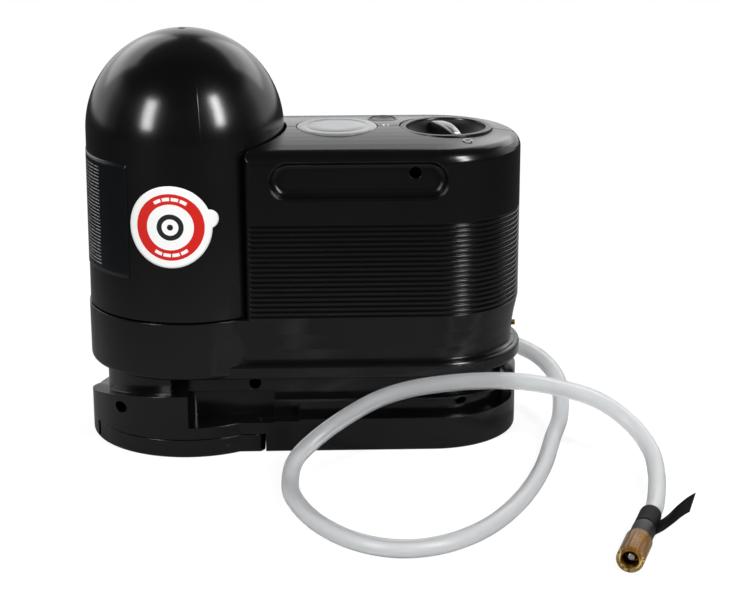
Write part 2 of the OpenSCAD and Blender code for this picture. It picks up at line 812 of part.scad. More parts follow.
// Involute tooth flank angle at radius r for a gear of n teeth
function inv(a) = tan(a) * 180 / PI - a;
function flank(n, r, slack) =
  let (rp = gear_m * n / 2, rb = rp * cos(20), ar = r <= rb ? 0 : acos(rb / r))
  90 / n - slack + inv(20) - inv(ar);

// Toothed outline, with its tip and root radii and play in degrees
module teeth(n, r_tip, r_root, slack, turn) {
  rb = gear_m * n / 2 * cos(20);
  r0 = max(rb, r_root + 0.1);
  rs = [r_root, r0, r0 + (r_tip - r0) / 2, r_tip];
  polygon([for (i = [0:n - 1]) let (c = turn + 360 * i / n) each concat(
    [for (k = [0:3]) let (a = c - flank(n, rs[k], slack)) rs[k] * [cos(a), sin(a)]],
    [for (k = [3:-1:0]) let (a = c + flank(n, rs[k], slack)) rs[k] * [cos(a), sin(a)]]
  )]);
}

// Cast frame that carries motor, gear axle and cylinder
module gear_frame() color("#9aa0a6") difference() {
  union() {
    translate([plate_fx0, -frame_w / 2, motor_z - frame_drop])
      cube([plate_ft, frame_w, gear_z - motor_z + frame_drop + frame_rise]);
    translate([plate_fx0, -arm_y - arm_t, arm_z0]) cube([plate_ft, 2 * (arm_y + arm_t), arm_h]);
    for (s = [-1, 1]) translate([cyl_x - seat_l, s > 0 ? arm_y : -arm_y - arm_t, arm_z0])
      cube([plate_fx0 - cyl_x + seat_l + eps, arm_t, arm_h]);
    translate([cyl_x - seat_l, -arm_y - arm_t, arm_z0]) cube([2 * seat_l, 2 * (arm_y + arm_t), arm_h - 2]);
  }
  translate([cyl_x, 0, 0]) cylinder(r = bore_r + cyl_t + 0.02, h = 200);
  rod_x(0, motor_z, hub_r + tube_gap, plate_fx0 - 1, plate_fx0 + 20);
  rod_x(0, gear_z, axle_r + 0.01, plate_fx0 - 1, plate_fx0 + 20);
  for (s = [-1, 1]) rod_x(s * bolt_y, motor_z, 1.6, plate_fx0 - 1, plate_fx0 + 20);
}

module motor_can() color("#8d9196") difference() {
  union() {
    rod_x(0, motor_z, motor_r, motor_x0, motor_x0 + motor_l);
    rod_x(0, motor_z, hub_r, motor_x0 - 2, motor_x0 + 1);
  }
  rod_x(0, motor_z, motor_r - motor_t, motor_x0 + 2, motor_x0 + motor_l + 1);
  rod_x(0, motor_z, shaft_r + run_gap, motor_x0 - 3, motor_x0 + 3);
}

module motor_magnets() color("#3a3a3d") intersection() {
  difference() {
    rod_x(0, motor_z, motor_r - motor_t - 0.02, magnet_x0, magnet_x0 + magnet_l);
    rod_x(0, motor_z, motor_r - motor_t - magnet_t, magnet_x0 - 1, magnet_x0 + magnet_l + 1);
  }
  union() for (s = [-1, 1]) translate([magnet_x0, s > 0 ? magnet_y : -motor_r - magnet_y, motor_z - motor_r])
    cube([magnet_l, motor_r, 2 * motor_r]);
}

module motor_endcap() color("#1f1f22") difference() {
  union() {
    rod_x(0, motor_z, motor_r, motor_x0 + motor_l, motor_x0 + motor_l + cap_t);
    for (s = [-1, 1]) translate([motor_x0 + motor_l - brush_l, s * brush_y - 2, motor_z - 2.5])
      cube([brush_l, 4, 5]);
  }
  rod_x(0, motor_z, shaft_r + run_gap, motor_x0 + motor_l - 10, motor_x0 + motor_l + 10);
}

module motor_rotor() color("#b06a3a") difference() {
  union() {
    for (i = [0:4]) rotate_about(motor_z, 72 * i) {
      translate([core_x0, -2, motor_z + 3]) cube([core_l, 4, motor_r - 11.5]);
      translate([core_x0, -5.4, motor_z + motor_r - 9]) cube([core_l, 10.8, 2.4]);
    }
    rod_x(0, motor_z, core_r, core_x0 - 1, core_x0 + core_l + 1);
    rod_x(0, motor_z, 6, motor_x0 + 43, motor_x0 + motor_l - 0.6);
  }
  rod_x(0, motor_z, shaft_r, motor_x0, motor_x0 + 100);
}

// Children turned about the X axis at height z
module rotate_about(z, a) {
  translate([0, 0, z]) rotate([a, 0, 0]) translate([0, 0, -z]) children();
}

// Motor shaft with its pinion
module motor_shaft() color("#c7c9cc") {
  rod_x(0, motor_z, shaft_r, gear_x0 - 1, motor_x0 + motor_l + 14);
  translate([gear_x0, 0, motor_z]) rotate([0, 90, 0]) linear_extrude(gear_t)
    teeth(pinion_n, gear_m * (pinion_n / 2 + 1), gear_m * (pinion_n / 2 - 0.85), 0.9, 180 + 180 / pinion_n);
}

module cooling_fan() color("#3b4046") difference() {
  union() {
    rod_x(0, motor_z, 4, motor_x0 + motor_l + 4, motor_x0 + motor_l + 13);
    for (i = [0:6]) rotate_about(motor_z, 360 / 7 * i)
      translate([motor_x0 + motor_l + 8.5, 0, motor_z + 3]) rotate([0, 0, 32])
        translate([-4, -0.6, 0]) cube([8, 1.2, fan_r - 3]);
  }
  rod_x(0, motor_z, shaft_r, motor_x0 + motor_l, motor_x0 + motor_l + 20);
}

module gear_axle() color("#d0d2d5")
  rod_x(0, gear_z, axle_r, gear_x0, plate_fx0 + plate_ft);

// Crank gear with its web holes and the stub of its crank pin
module crank_gear() color("#d8c9a0") {
  difference() {
    union() {
      translate([gear_x0, 0, gear_z]) rotate([0, 90, 0]) linear_extrude(gear_t)
        teeth(gear_n, gear_m * (gear_n / 2 + 0.6), gear_m * (gear_n / 2 - 1.25), 0.2, 0);
      rod_x(0, gear_z, axle_r + 3, gear_x0, gear_x0 + gear_t + 1.2);
    }
    rod_x(0, gear_z, axle_r + run_gap, gear_x0 - 1, gear_x0 + gear_t + 2);
    for (i = [1:5]) rotate_about(gear_z, 60 * i)
      rod_x(0, gear_z + gear_m * gear_n * 0.31, 3.6, gear_x0 - 1, gear_x0 + gear_t + 1);
  }
  rod_x(0, crank_z, crank_pin_r, cyl_x + end_w / 2 + open_gap, gear_x0 + eps);
}

module con_rod() color("#a9adb2") difference() {
  union() {
    rod_x(0, crank_z, 6, cyl_x - end_w / 2, cyl_x + end_w / 2);
    rod_x(0, wrist_z, 4.5, cyl_x - end_w / 2, cyl_x + end_w / 2);
    translate([cyl_x - 2, -2.6, wrist_z]) cube([4, 5.2, rod_l]);
  }
  rod_x(0, crank_z, crank_pin_r + run_gap, cyl_x - 20, cyl_x + 20);
  rod_x(0, wrist_z, 2 + run_gap, cyl_x - 20, cyl_x + 20);
}

module piston() color("#c3c6ca") difference() {
  translate([cyl_x, 0, piston_z0]) cylinder(r = bore_r - run_gap, h = piston_h);
  translate([cyl_x, 0, piston_z0 + 2.6]) cylinder(r = bore_r - 2, h = piston_h);
  translate([cyl_x, 0, piston_z0 + 1]) ring(bore_r + 1, bore_r - 1.2, 1.2);
  rod_x(0, wrist_z, 2, cyl_x - 30, cyl_x + 30);
}

module piston_seal() color("#222222") translate([cyl_x, 0, piston_z0 + 1.05])
  ring(bore_r - 0.06, bore_r - 1.15, 1.1);

module wrist_pin() color("#d5d7da")
  rod_x(0, wrist_z, 2 - 0.01, cyl_x - bore_r + 0.8, cyl_x + bore_r - 0.8);

// Cylinder liner with its cooling fins, open at the crank end
module cylinder_barrel() color("#b9bdc2") difference() {
  union() {
    translate([cyl_x, 0, head_z1]) cylinder(r = bore_r + cyl_t, h = cyl_z1 - head_z1);
    for (z = [head_z1:2.6:arm_z0 - fin_t - 1]) intersection() {
      translate([cyl_x, 0, z]) cylinder(r = bore_r + cyl_t + fin_out, h = fin_t);
      translate([gear_x0 - 101.6, -50, 0]) cube([100, 100, 200]);
    }
  }
  translate([cyl_x, 0, head_z1 - 1]) cylinder(r = bore_r, h = 200);
}

// Cylinder head with its inlet hole and its outlet barb to the rear
module cylinder_head() color("#8f959b") difference() {
  union() {
    translate([cyl_x, 0, head_z1 - head_h]) cylinder(r = head_r, h = head_h);
    rod_y(cyl_x, outlet_z, barb_r, head_r - 1, head_r + barb_l);
  }
  rod_y(cyl_x, outlet_z, duct_r, 0, head_r + 10);
  translate([cyl_x, 0, outlet_z]) cylinder(r = duct_r, h = head_h);
  translate([cyl_x - 4, 0, head_z1 - head_h - 1]) cylinder(r = 1.5, h = head_h + 2);
  for (a = [45:90:315]) translate([cyl_x, 0, head_z1 - head_h - 1]) rotate([0, 0, a])
    translate([bolt_circle, 0, 0]) cylinder(r = 1.3, h = head_h + 2);
}

module head_screws() color("#c9ccd0") for (a = [45:90:315])
  translate([cyl_x, 0, head_z1 - head_h]) rotate([0, 0, a]) translate([bolt_circle, 0, 0]) {
    translate([0, 0, -2]) cylinder(r = 2.2, h = 1.95);
    translate([0, 0, -0.5]) cylinder(r = 1.25, h = head_h + 0.3);
  }

// ---- air and sealant paths ----------------------------------------------

function unit(v) = v / norm(v);

// Catmull-Rom point between p1 and p2
function between(p0, p1, p2, p3, t) =
  0.5 * (2 * p1 + (p2 - p0) * t + (2 * p0 - 5 * p1 + 4 * p2 - p3) * t * t
    + (3 * p1 - p0 - 3 * p2 + p3) * t * t * t);

// Route through all points of p, with n steps between two of them and straight ends
function route(p, n) = let (m = len(p) - 1) concat(
  [for (i = [0:m - 1]) for (k = [0:n - 1]) i == 0 || i == m - 1
    ? p[i] + (p[i + 1] - p[i]) * k / n
    : between(p[i - 1], p[i], p[i + 1], p[i + 2], k / n)],
  [p[m]]
);

// Tube of radius r along the points of path, with its sides kept upright to ref
module sweep(path, r, sides, ref) {
  m = len(path) - 1;
  points = [for (i = [0:m]) let (
    d = unit(path[min(i + 1, m)] - path[max(i - 1, 0)]),
    u = unit(cross(d, ref)),
    v = cross(u, d)
  ) for (k = [0:sides - 1]) let (a = 360 * k / sides) path[i] + r * (cos(a) * u + sin(a) * v)];
  sides_f = [for (i = [0:m - 1]) for (k = [0:sides - 1]) let (
    a = i * sides + k,
    b = i * sides + (k + 1) % sides
  ) each [[a, a + sides, b], [b, a + sides, b + sides]]];
  caps = [for (k = [1:sides - 2]) each [[0, k, k + 1], [m * sides, m * sides + k + 1, m * sides + k]]];
  polyhedron(points, concat(sides_f, caps));
}

// Least gap of a tube of radius r to itself, between points at least skip apart on its path
function least_gap(path, r, skip) = min([
  for (i = [0:len(path) - 1 - skip]) for (k = [i + skip:len(path) - 1]) norm(path[i] - path[k])
]) - 2 * r;

// Upright helix of n turns from z = 0 to h
function helix(r, wire, n, h) = [
  for (i = [0:n * 10]) let (a = 36 * i) [r * cos(a), r * sin(a), wire + (h - 2 * wire) * i / (n * 10)]
];

module supply_tube() color("#202022") sweep(route([
  [cyl_x, head_r + barb_l + tube_gap, outlet_z],
  [cyl_x, head_r + 9, outlet_z],
  [cyl_x + 7, 32, head_z1 - 1],
  [motor_x0 + 12, 36, motor_z - 8],
  [motor_x0 + 24, 36, motor_z + 20],
  [xc_knob - 5, 32, valve_z0 - 2],
  [xc_knob, valve_r + 11, valve_port_z],
  [xc_knob, valve_r + barb_l + tube_gap, valve_port_z]
], 3), tube_r, 8, [1, 0, 0]);

module canister_tube() color("#202022") sweep(route([
  [xc_knob, -valve_r - 6.1, valve_port_z],
  [xc_knob, -valve_r - 11, valve_port_z],
  [xc_knob - 7, -33, valve_z0 - 4],
  [motor_x0 + 22, -36, motor_z + 12],
  [motor_x0 + 14, -35, motor_z - 14],
  [motor_x0 - 8, -32, z_flange + 17],
  [cyl_x - 14, -27, z_flange + 17],
  [x_can + 46, -spigot_port_y, port_z],
  [x_can + 38, -spigot_port_y, port_z],
  [port_x1 + tube_gap, -spigot_port_y, port_z]
], 3), tube_r, 8, [0, 1, 1]);

module gauge_tube() color("#c08a3c") sweep(route([
  [xc_knob - valve_r - 6.1, 0, valve_port_z],
  [xc_knob - valve_r - 10, 0, valve_port_z],
  [xc_gauge + 28, 0, gauge_z0 - 4],
  [xc_gauge + 14, 0, gauge_z0 - 1.7],
  [xc_gauge + 10, 0, gauge_z0 - 1.7],
  [xc_gauge + 7.1, 0, gauge_z0 - 1.7]
], 3), 1.2, 8, [0, 1, 0]);

module sealant_tube() color("#dfe2e0") sweep(route([
  [port_x1 + tube_gap, spigot_port_y, port_z],
  [x_can + 36, spigot_port_y, port_z],
  [x_can + 48, 12, z_plat - 13],
  [cyl_x + 4, 24, z_flange + 9],
  [gland_x0 - 16, 25, z_flange + 3],
  [gland_x0 - 2, 24, hose_z + 3],
  [gland_x0 + 3, 25, hose_z],
  [gland_x0 + 4, neck_w - wall - 4.1, hose_z]
], 3), tube_r, 8, [0, 0.2, 1]);

// Block under the platform with the two spigots that carry the canister
module canister_manifold() color("#34363a") difference() {
  union() {
    translate([x_can - 22, -13, z_plat - wall - 14.2]) cube([46, 26, 14]);
    for (s = [-1, 1]) {
      translate([x_can + s * spigot_dx, 0, z_plat - wall - 4]) cylinder(r = spigot_r, h = wall + 4 + spigot_h);
      rod_x(s * spigot_port_y, port_z, barb_r, x_can + 23, port_x1);
    }
  }
  for (s = [-1, 1]) {
    translate([x_can + s * spigot_dx, 0, z_plat - wall - 8]) cylinder(r = 1.5, h = 60);
    rod_x(s * spigot_port_y, port_z, duct_r, x_can + 10, port_x1 + 10);
    translate([x_can + s * spigot_dx, 0, z_plat + spigot_h - 4.6]) ring(spigot_r + 1, spigot_r - 0.9, 1.9);
  }
}

module port_seals() color("#18181a") for (s = [-1, 1])
  translate([x_can + s * spigot_dx, 0, z_plat + spigot_h - 4.55]) ring(spigot_r + 0.3, spigot_r - 0.85, 1.8);

// ---- canister -----------------------------------------------------------

// Radius of the cover's outside at height z above its lower edge
function cover_r(z) = can_r0 - can_draft * z / can_h;

module canister_cover() color("#17171a") translate([x_can, 0, 0]) difference() {
  rotate_extrude() polygon(concat(
    [[0, can_z0], [can_r0 - 0.5, can_z0], [can_r0, can_z0 + 0.5]],
    arc(0, can_zs, can_r, 0, 90, 24)
  ));
  rotate_extrude() polygon(concat(
    [[0, can_z0 - 1], [can_r0 - can_wall, can_z0 - 1]],
    arc(0, can_zs, can_r - can_wall, 0, 90, 24)
  ));
}

// Plug that closes the cover and carries the two sockets and the bottle's neck
module canister_base() color("#2b2b2e") translate([x_can, 0, can_z0 + 1]) difference() {
  union() {
    cylinder(r1 = cover_r(1) - can_wall - 0.05, r2 = cover_r(1 + can_base_h) - can_wall - 0.05, h = can_base_h);
    translate([0, 0, can_base_h - eps]) cylinder(r = mouth_r - 0.1, h = 6);
  }
  for (s = [-1, 1]) translate([s * spigot_dx, 0, -1]) cylinder(r = spigot_r + 0.35, h = spigot_h + 1.4);
  translate([0, 0, -1]) difference() {
    cylinder(r = can_r - can_wall - 4, h = 3);
    cylinder(r = spigot_dx + spigot_r + 5, h = 3);
  }
}

module sealant_bottle() color("#e6e4dc") translate([x_can, 0, can_z0 + 1 + can_base_h + 0.1]) difference() {
  rotate_extrude() polygon(concat(
    [[0, 0], [bottle_r - 3, 0], [bottle_r, 3]],
    arc(0, can_h - can_base_h - 1, bottle_r, 0, 90, 12)
  ));
  rotate_extrude() polygon(concat(
    [[0, bottle_t], [bottle_r - 3 - bottle_t / 2, bottle_t], [bottle_r - bottle_t, 3 + bottle_t / 2]],
    arc(0, can_h - can_base_h - 1, bottle_r - bottle_t, 0, 90, 12)
  ));
  translate([0, 0, -1]) cylinder(r = mouth_r, h = 5);
}

// Thin layer on the cover, from z0 up to z1
module cover_skin(z0, z1) translate([x_can, 0, z0]) difference() {
  cylinder(r1 = cover_r(z0 - can_z0) + skin_t + 0.02, r2 = cover_r(z1 - can_z0) + skin_t + 0.02, h = z1 - z0);
  cylinder(r1 = cover_r(z0 - can_z0) + 0.02, r2 = cover_r(z1 - can_z0) + 0.02, h = z1 - z0);
}

module round_sticker() color("#f2f2f0") intersection() {
  cover_skin(sticker_z - 25, sticker_z + 25);
  translate([x_can, 0, sticker_z]) rotate([0, 0, sticker_a]) {
    translate([0, -20, 0]) rotate([90, 0, 0]) cylinder(r = sticker_r, h = 60);
    rotate([0, 0, tab_a]) translate([0, -20, tab_dz]) rotate([90, 0, 0]) cylinder(r = tab_r, h = 60);
  }
}

module side_label() color("#0c0c0e") intersection() {
  a1 = sticker_a - 90 - asin(sticker_r / can_r) - label_gap;
  a0 = a1 - label_span;
  cover_skin(label_z0, label_z1);
  translate([x_can, 0, label_z0 - 1]) linear_extrude(label_z1 - label_z0 + 2)
    polygon(2 * can_r * [[0, 0], [cos(a0), sin(a0)], [cos(a1), sin(a1)]]);
}

// ---- hose ---------------------------------------------------------------

// Elbow in the rear channel where the clear hose leaves
module hose_gland() color("#1d1d20") {
  rod_x(hose_y, hose_z, gland_r, gland_x0, gland_x1);
  rod_y(gland_x0 + 4, hose_z, gland_r - 1.2, neck_w - wall - 4, hose_y);
}

hose_points = [
  [gland_x1, hose_y, hose_z], [gland_x1 + 5, hose_y, hose_z], [gland_x1 + 10, hose_y, hose_z],
  [103, 34, 32.5], [114, 25, 32], [124, 12, 30], [131, -1, 25], [133, -11, 18.5], [131.5, -24, 9],
  [126, -41, 4.6], [114, -81, floor_z], [100.5, -117, floor_z], [83, -148, floor_z],
  [63, -171, floor_z], [42, -175, floor_z], [20.5, -164, floor_z], [5, -143, floor_z],
  [-5.5, -116, floor_z], [-8, -96, 5], [-5, -76, 8.5], [8, -64, 16], [23, -58, 25.4],
  [37, -54, 31.5], [51, -52, 35.3], [67, -51.5, 37.8], [85, -51.5, 39.2], [106, -51.5, 38.8],
  [126.5, -52, 35.4], [147, -55, 29.2], [162, -64, 20], [169.5, -79, 12], [169.5, -98, 7.5],
  [166.5, -117, lie_z], fit_point(-22), fit_point(-11), hose_end
];
function fit_point(s) = hose_end + s * [cos(fit_a), sin(fit_a), 0];

module sealant_hose() color("#e8ebea", 0.7) {
  path = route(hose_points, 2);
  echo("sealant_hose: least gap to itself", least_gap(path, hose_r, 8));
  sweep(path, hose_r, 10, [0, 0, 1]);
}

// Children in the valve connector's own frame, +X along the hose's end
module at_fitting() translate(hose_end) rotate([0, 0, fit_a]) children();

// Strap wrapped round the hose's end, with its loose tail
module hose_strap() color("#141416") at_fitting() {
  difference() {
    rod_x(0, 0, hose_r + 1.1, -17, -0.5);
    rod_x(0, 0, hose_r + 0.2, -18, 1);
  }
  translate([0, hose_r + 0.8, 1]) rotate([24, 0, 0]) linear_extrude(0.9)
    polygon([[-16.5, 0], [-2, 0], [-9, 19], [-20, 22]]);
}

module hose_ferrule() color("#3a3036") at_fitting() {
  rod_x(0, 0, hose_r + 0.1, 0.05, ferrule_l);
  rod_x(0, 0, stem_r, ferrule_l - eps, ferrule_l + stem_l);
}

module valve_nut() color("#b98f3e") at_fitting() difference() {
  union() {
    rod_x(0, 0, nut_r, ferrule_l + 0.4, nut_x1);
    rod_x(0, 0, nut_r - 0.6, ferrule_l + 0.4, nut_x1 + 0.6);
  }
  rod_x(0, 0, stem_r + run_gap, ferrule_l - 5, nut_x1);
  rod_x(0, 0, valve_thread_r - 0.6, nut_x1 - chamber_l, nut_x1);
  rod_x(0, 0, valve_thread_r, nut_x1 - thread_l, nut_x1 + 5);
}

// Clear sleeve over the nut
module nut_cap() color("#dcd6c4", 0.6) at_fitting() rotate([0, 90, 0]) difference() {
  rotate_extrude() polygon([
    [0, ferrule_l - 2.5], [cap_r, ferrule_l - 2.5], [cap_r, nut_x1 - 6],
    [cap_r - 0.5, nut_x1 - 1.5], [cap_r - 0.9, nut_x1 - 0.7], [0, nut_x1 - 0.7]
  ]);
  translate([0, 0, ferrule_l - 10]) cylinder(r = nut_r + 0.02, h = nut_l + 20);
}

module valve_pin() color("#c9cbd0") at_fitting()
  rod_x(0, 0, 0.9, ferrule_l + stem_l, nut_x1 - thread_l - 0.5);

front_shell();
rear_shell();
bottom_plate();
case_screws();
gauge_case();
gauge_dial();
gauge_works();
gauge_needle();
gauge_lens();
mode_knob();
knob_dot();
knob_spindle();
valve_block();
power_button();
button_ring();
switch_body();
button_spring();
relief_body();
relief_pin();
power_inlet();
gear_frame();
motor_can();
motor_magnets();
motor_endcap();
motor_rotor();
motor_shaft();
cooling_fan();
gear_axle();
crank_gear();
con_rod();
piston();
piston_seal();
wrist_pin();
cylinder_barrel();
cylinder_head();
head_screws();
supply_tube();
canister_tube();
gauge_tube();
sealant_tube();
canister_manifold();
port_seals();
canister_cover();
canister_base();
sealant_bottle();
round_sticker();
side_label();
hose_gland();
sealant_hose();
hose_strap();
hose_ferrule();
valve_nut();
nut_cap();
valve_pin();
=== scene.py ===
"""Portable tyre inflator with its sealant canister: outer pieces, finishes and studio."""
import math

import bmesh
import bpy
import numpy as np
from bpy.props import FloatProperty, FloatVectorProperty, IntProperty, PointerProperty
from mathutils import Matrix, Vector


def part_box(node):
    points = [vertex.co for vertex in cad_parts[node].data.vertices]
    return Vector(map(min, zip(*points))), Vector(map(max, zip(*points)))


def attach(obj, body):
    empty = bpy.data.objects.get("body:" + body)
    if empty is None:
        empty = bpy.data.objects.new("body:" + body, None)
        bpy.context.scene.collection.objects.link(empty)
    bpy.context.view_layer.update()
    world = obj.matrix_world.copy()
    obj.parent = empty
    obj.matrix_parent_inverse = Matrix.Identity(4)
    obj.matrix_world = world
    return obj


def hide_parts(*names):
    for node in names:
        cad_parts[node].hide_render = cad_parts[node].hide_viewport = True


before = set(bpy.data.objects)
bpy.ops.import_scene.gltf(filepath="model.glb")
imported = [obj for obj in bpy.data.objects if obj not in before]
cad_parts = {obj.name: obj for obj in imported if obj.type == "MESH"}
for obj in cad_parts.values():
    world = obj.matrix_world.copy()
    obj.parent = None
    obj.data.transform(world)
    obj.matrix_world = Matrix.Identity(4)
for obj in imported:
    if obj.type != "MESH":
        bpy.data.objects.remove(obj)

bl_info = {
    "name": "Tyre inflator builder",
    "version": (1, 0, 0),
    "blender": (4, 5, 0),
    "location": "3D View > Sidebar > Inflator",
    "description": "Builds a portable tyre inflator, its hose and its studio round a packed frame",
    "category": "Object",
}

MM = 0.001
TAU = 2 * math.pi
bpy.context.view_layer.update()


# ---- places read from the frame, in millimetres ----

def box_mm(node):
    """Lowest and highest corners of a CAD node, in millimetres."""
    low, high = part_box(node)
    return np.array(low) / MM, np.array(high) / MM


def middle(node):
    """Centre of a CAD node's box, in millimetres."""
    low, high = box_mm(node)
    return (low + high) / 2


def round_size(node):
    """Radius, foot and top of a round CAD node, in millimetres."""
    low, high = box_mm(node)
    return (high[0] - low[0]) / 2, low[2], high[2]


COVER_LOW, COVER_HIGH = box_mm("canister_cover")
CAN_X = middle("canister_cover")[0]
CAN_R0 = round_size("canister_cover")[0]
CAN_DRAFT = 0.9
CAN_R = CAN_R0 - CAN_DRAFT
CAN_WALL = 2.0
DOME_Z = COVER_HIGH[2] - CAN_R
GAUGE_X = middle("gauge_lens")[0]
KNOB_X = middle("mode_knob")[0]
BUTTON_X, BUTTON_Y = middle("power_button")[:2]
BUTTON_SINK = 0.5
TOP_Z = round_size("power_button")[2] + BUTTON_SINK
CROWN_R = 255.0
HOSE_R = 4.25
HOSE_BORE_R = 2.7
HOSE_END = np.array([155.0, -157.0, 6.5])
FIT_TURN = math.radians(-109.6)
FIT_OUT = np.array([math.cos(FIT_TURN), math.sin(FIT_TURN), 0.0])
FIT_SIDE = np.array([-math.sin(FIT_TURN), math.cos(FIT_TURN), 0.0])


# ---- settings ----

def tint(name, text, colour):
    """Colour property, linear values."""
    return FloatVectorProperty(
        name=name, description=text, subtype="COLOR", size=3, min=0, max=1, default=colour
    )


def length(name, text, value):
    """Length property in metres."""
    return FloatProperty(
        name=name, description=text, subtype="DISTANCE", unit="LENGTH", min=0, default=value
    )


class InflatorColours(bpy.types.PropertyGroup):
    """Colours of the outer pieces."""
    shell: tint("Shell", "Moulded housing", (0.003, 0.003, 0.0033))
    cover: tint("Cover", "Canister cover", (0.0028, 0.0028, 0.0031))
    knob: tint("Knob", "Mode knob", (0.004, 0.004, 0.0044))
    lens: tint("Lens", "Gauge lens", (0.375, 0.385, 0.40))
    hose: tint("Hose", "Clear hose", (0.79, 0.80, 0.81))
    strap: tint("Strap", "Hose strap", (0.0032, 0.0032, 0.0038))
    ferrule: tint("Ferrule", "Sleeve at the hose's end", (0.012, 0.0085, 0.0095))
    brass: tint("Brass", "Valve nut and relief valve", (0.29, 0.165, 0.036))
    sleeve: tint("Sleeve", "Clear sleeve over the valve nut", (0.66, 0.50, 0.23))
    red: tint("Red ring", "Ring printed on the sticker", (0.60, 0.016, 0.012))
    white: tint("White", "White print and sticker stock", (0.84, 0.84, 0.83))


class InflatorSizes(bpy.types.PropertyGroup):
    """Sizes of the outer pieces that scene work may change."""
    seam: length("Mould seam", "Height of the mould seam on the cover", 6e-5)
    ring_inner: length("Ring inside", "Inner radius of the sticker's red ring", 0.0115)
    ring_outer: length("Ring outside", "Outer radius of the sticker's red ring", 0.01675)
    strap_t: length("Strap thickness", "Thickness of the hose strap", 0.0007)
    grip_t: length("Grip thickness", "Thickness of the knob's grip at its middle", 0.0056)
    flutes: IntProperty(name="Nut flutes", description="Flutes round the nut", min=6, default=18)


def colours():
    return bpy.context.scene.inflator_colours


def sizes():
    return bpy.context.scene.inflator_sizes


# ---- shader maths ----

def math_node(operation):
    """Method of a signal that adds one Math node with this operation."""
    def method(self, *others):
        values = dict(enumerate((self, *others)))
        return self.paint.add("ShaderNodeMath", {"operation": operation}, values)
    return method


class Signal:
    """A shader socket in a Python expression; each operator adds one Math node."""

    def __init__(self, paint, socket):
        self.paint = paint
        self.socket = socket

    __add__ = __radd__ = math_node("ADD")
    __mul__ = __rmul__ = math_node("MULTIPLY")
    __sub__ = math_node("SUBTRACT")
    __pow__ = math_node("POWER")
    __abs__ = math_node("ABSOLUTE")
    __gt__ = math_node("GREATER_THAN")
    __lt__ = math_node("LESS_THAN")
    both = math_node("MINIMUM")
    either = math_node("MAXIMUM")
    repeat = math_node("FLOORED_MODULO")
    floor = math_node("FLOOR")
    angle = math_node("ARCTAN2")

    def __rsub__(self, other):
        return self.paint.add("ShaderNodeMath", {"operation": "SUBTRACT"}, {0: other, 1: self})

    def between(self, low, high):
        """1 where the value lies between low and high, else 0."""
        return (self > low) * (self < high)


class Paint:
    """The nodes of one material or world."""

    def __init__(self, tree):
        self.tree = tree
        self.tree.nodes.clear()

    def add(self, kind, settings=None, inputs=None, output=0):
        """One node: its settings first, then its sockets' values or links."""
        node = self.tree.nodes.new(kind)
        for key, value in (settings or {}).items():
            if key == "stops":
                self._stops(node.color_ramp, value)
            else:
                setattr(node, key, value)
        for key, value in (inputs or {}).items():
            socket = node.inputs[key]
            if isinstance(value, Signal):
                self.tree.links.new(value.socket, socket)
            else:
                socket.default_value = (*value, 1) if socket.type == "RGBA" else value
        return Signal(self, node.outputs[output]) if node.outputs else None

    @staticmethod
    def _stops(ramp, stops):
        while len(ramp.elements) < len(stops):
            ramp.elements.new(1.0)
        for element, (place, value) in zip(ramp.elements, stops):
            element.position = place
            element.color = (value, value, value, 1)

    def split(self, vector, *parts):
        """Parts of a vector, each as one signal."""
        return [self.add("ShaderNodeSeparateXYZ", inputs={0: vector}, output=i) for i in parts]

    def place(self):
        """Object coordinates in metres: the vector, and its signals x, y and z."""
        where = self.add("ShaderNodeTexCoord", output="Object")
        return where, *self.split(where, 0, 1, 2)

    def sheet(self):
        """The piece's own UV map, as the two signals u and v."""
        return self.split(self.add("ShaderNodeUVMap", {"uv_map": "sheet"}), 0, 1)

    def ray(self, kind):
        """1 for rays of this kind, else 0."""
        return self.add("ShaderNodeLightPath", output=f"Is {kind} Ray")

    def noise(self, where, scale, detail=2.0, rough=0.5, stretch=None):
        if stretch:
            where = self.add("ShaderNodeMapping", inputs={"Vector": where, "Scale": stretch})
        inputs = {"Vector": where, "Scale": scale, "Detail": detail, "Roughness": rough}
        return self.add("ShaderNodeTexNoise", inputs=inputs)

    def ramp(self, value, *stops):
        return self.add("ShaderNodeValToRGB", {"stops": stops}, {0: value})

    def blend(self, factor, a, b):
        """Colour a where factor is 0 and b where it is 1."""
        return self.add("ShaderNodeMix", {"data_type": "RGBA"}, {0: factor, 6: a, 7: b}, output=2)

    def bump(self, height, distance, strength=1.0, normal=None):
        inputs = {"Height": height, "Distance": distance, "Strength": strength}
        if normal:
            inputs["Normal"] = normal
        return self.add("ShaderNodeBump", inputs=inputs)

    def end(self, inputs):
        """Principled shader with these sockets, to the output."""
        shader = self.add("ShaderNodeBsdfPrincipled", inputs=inputs)
        self.add("ShaderNodeOutputMaterial", inputs={"Surface": shader})


def material(name):
    """A new material and the Paint of its nodes."""
    made = bpy.data.materials.new(name)
    made.use_nodes = True
    return made, Paint(made.node_tree)


def rgb(value, gain=1.0):
    return tuple(min(1.0, channel * gain) for channel in value)


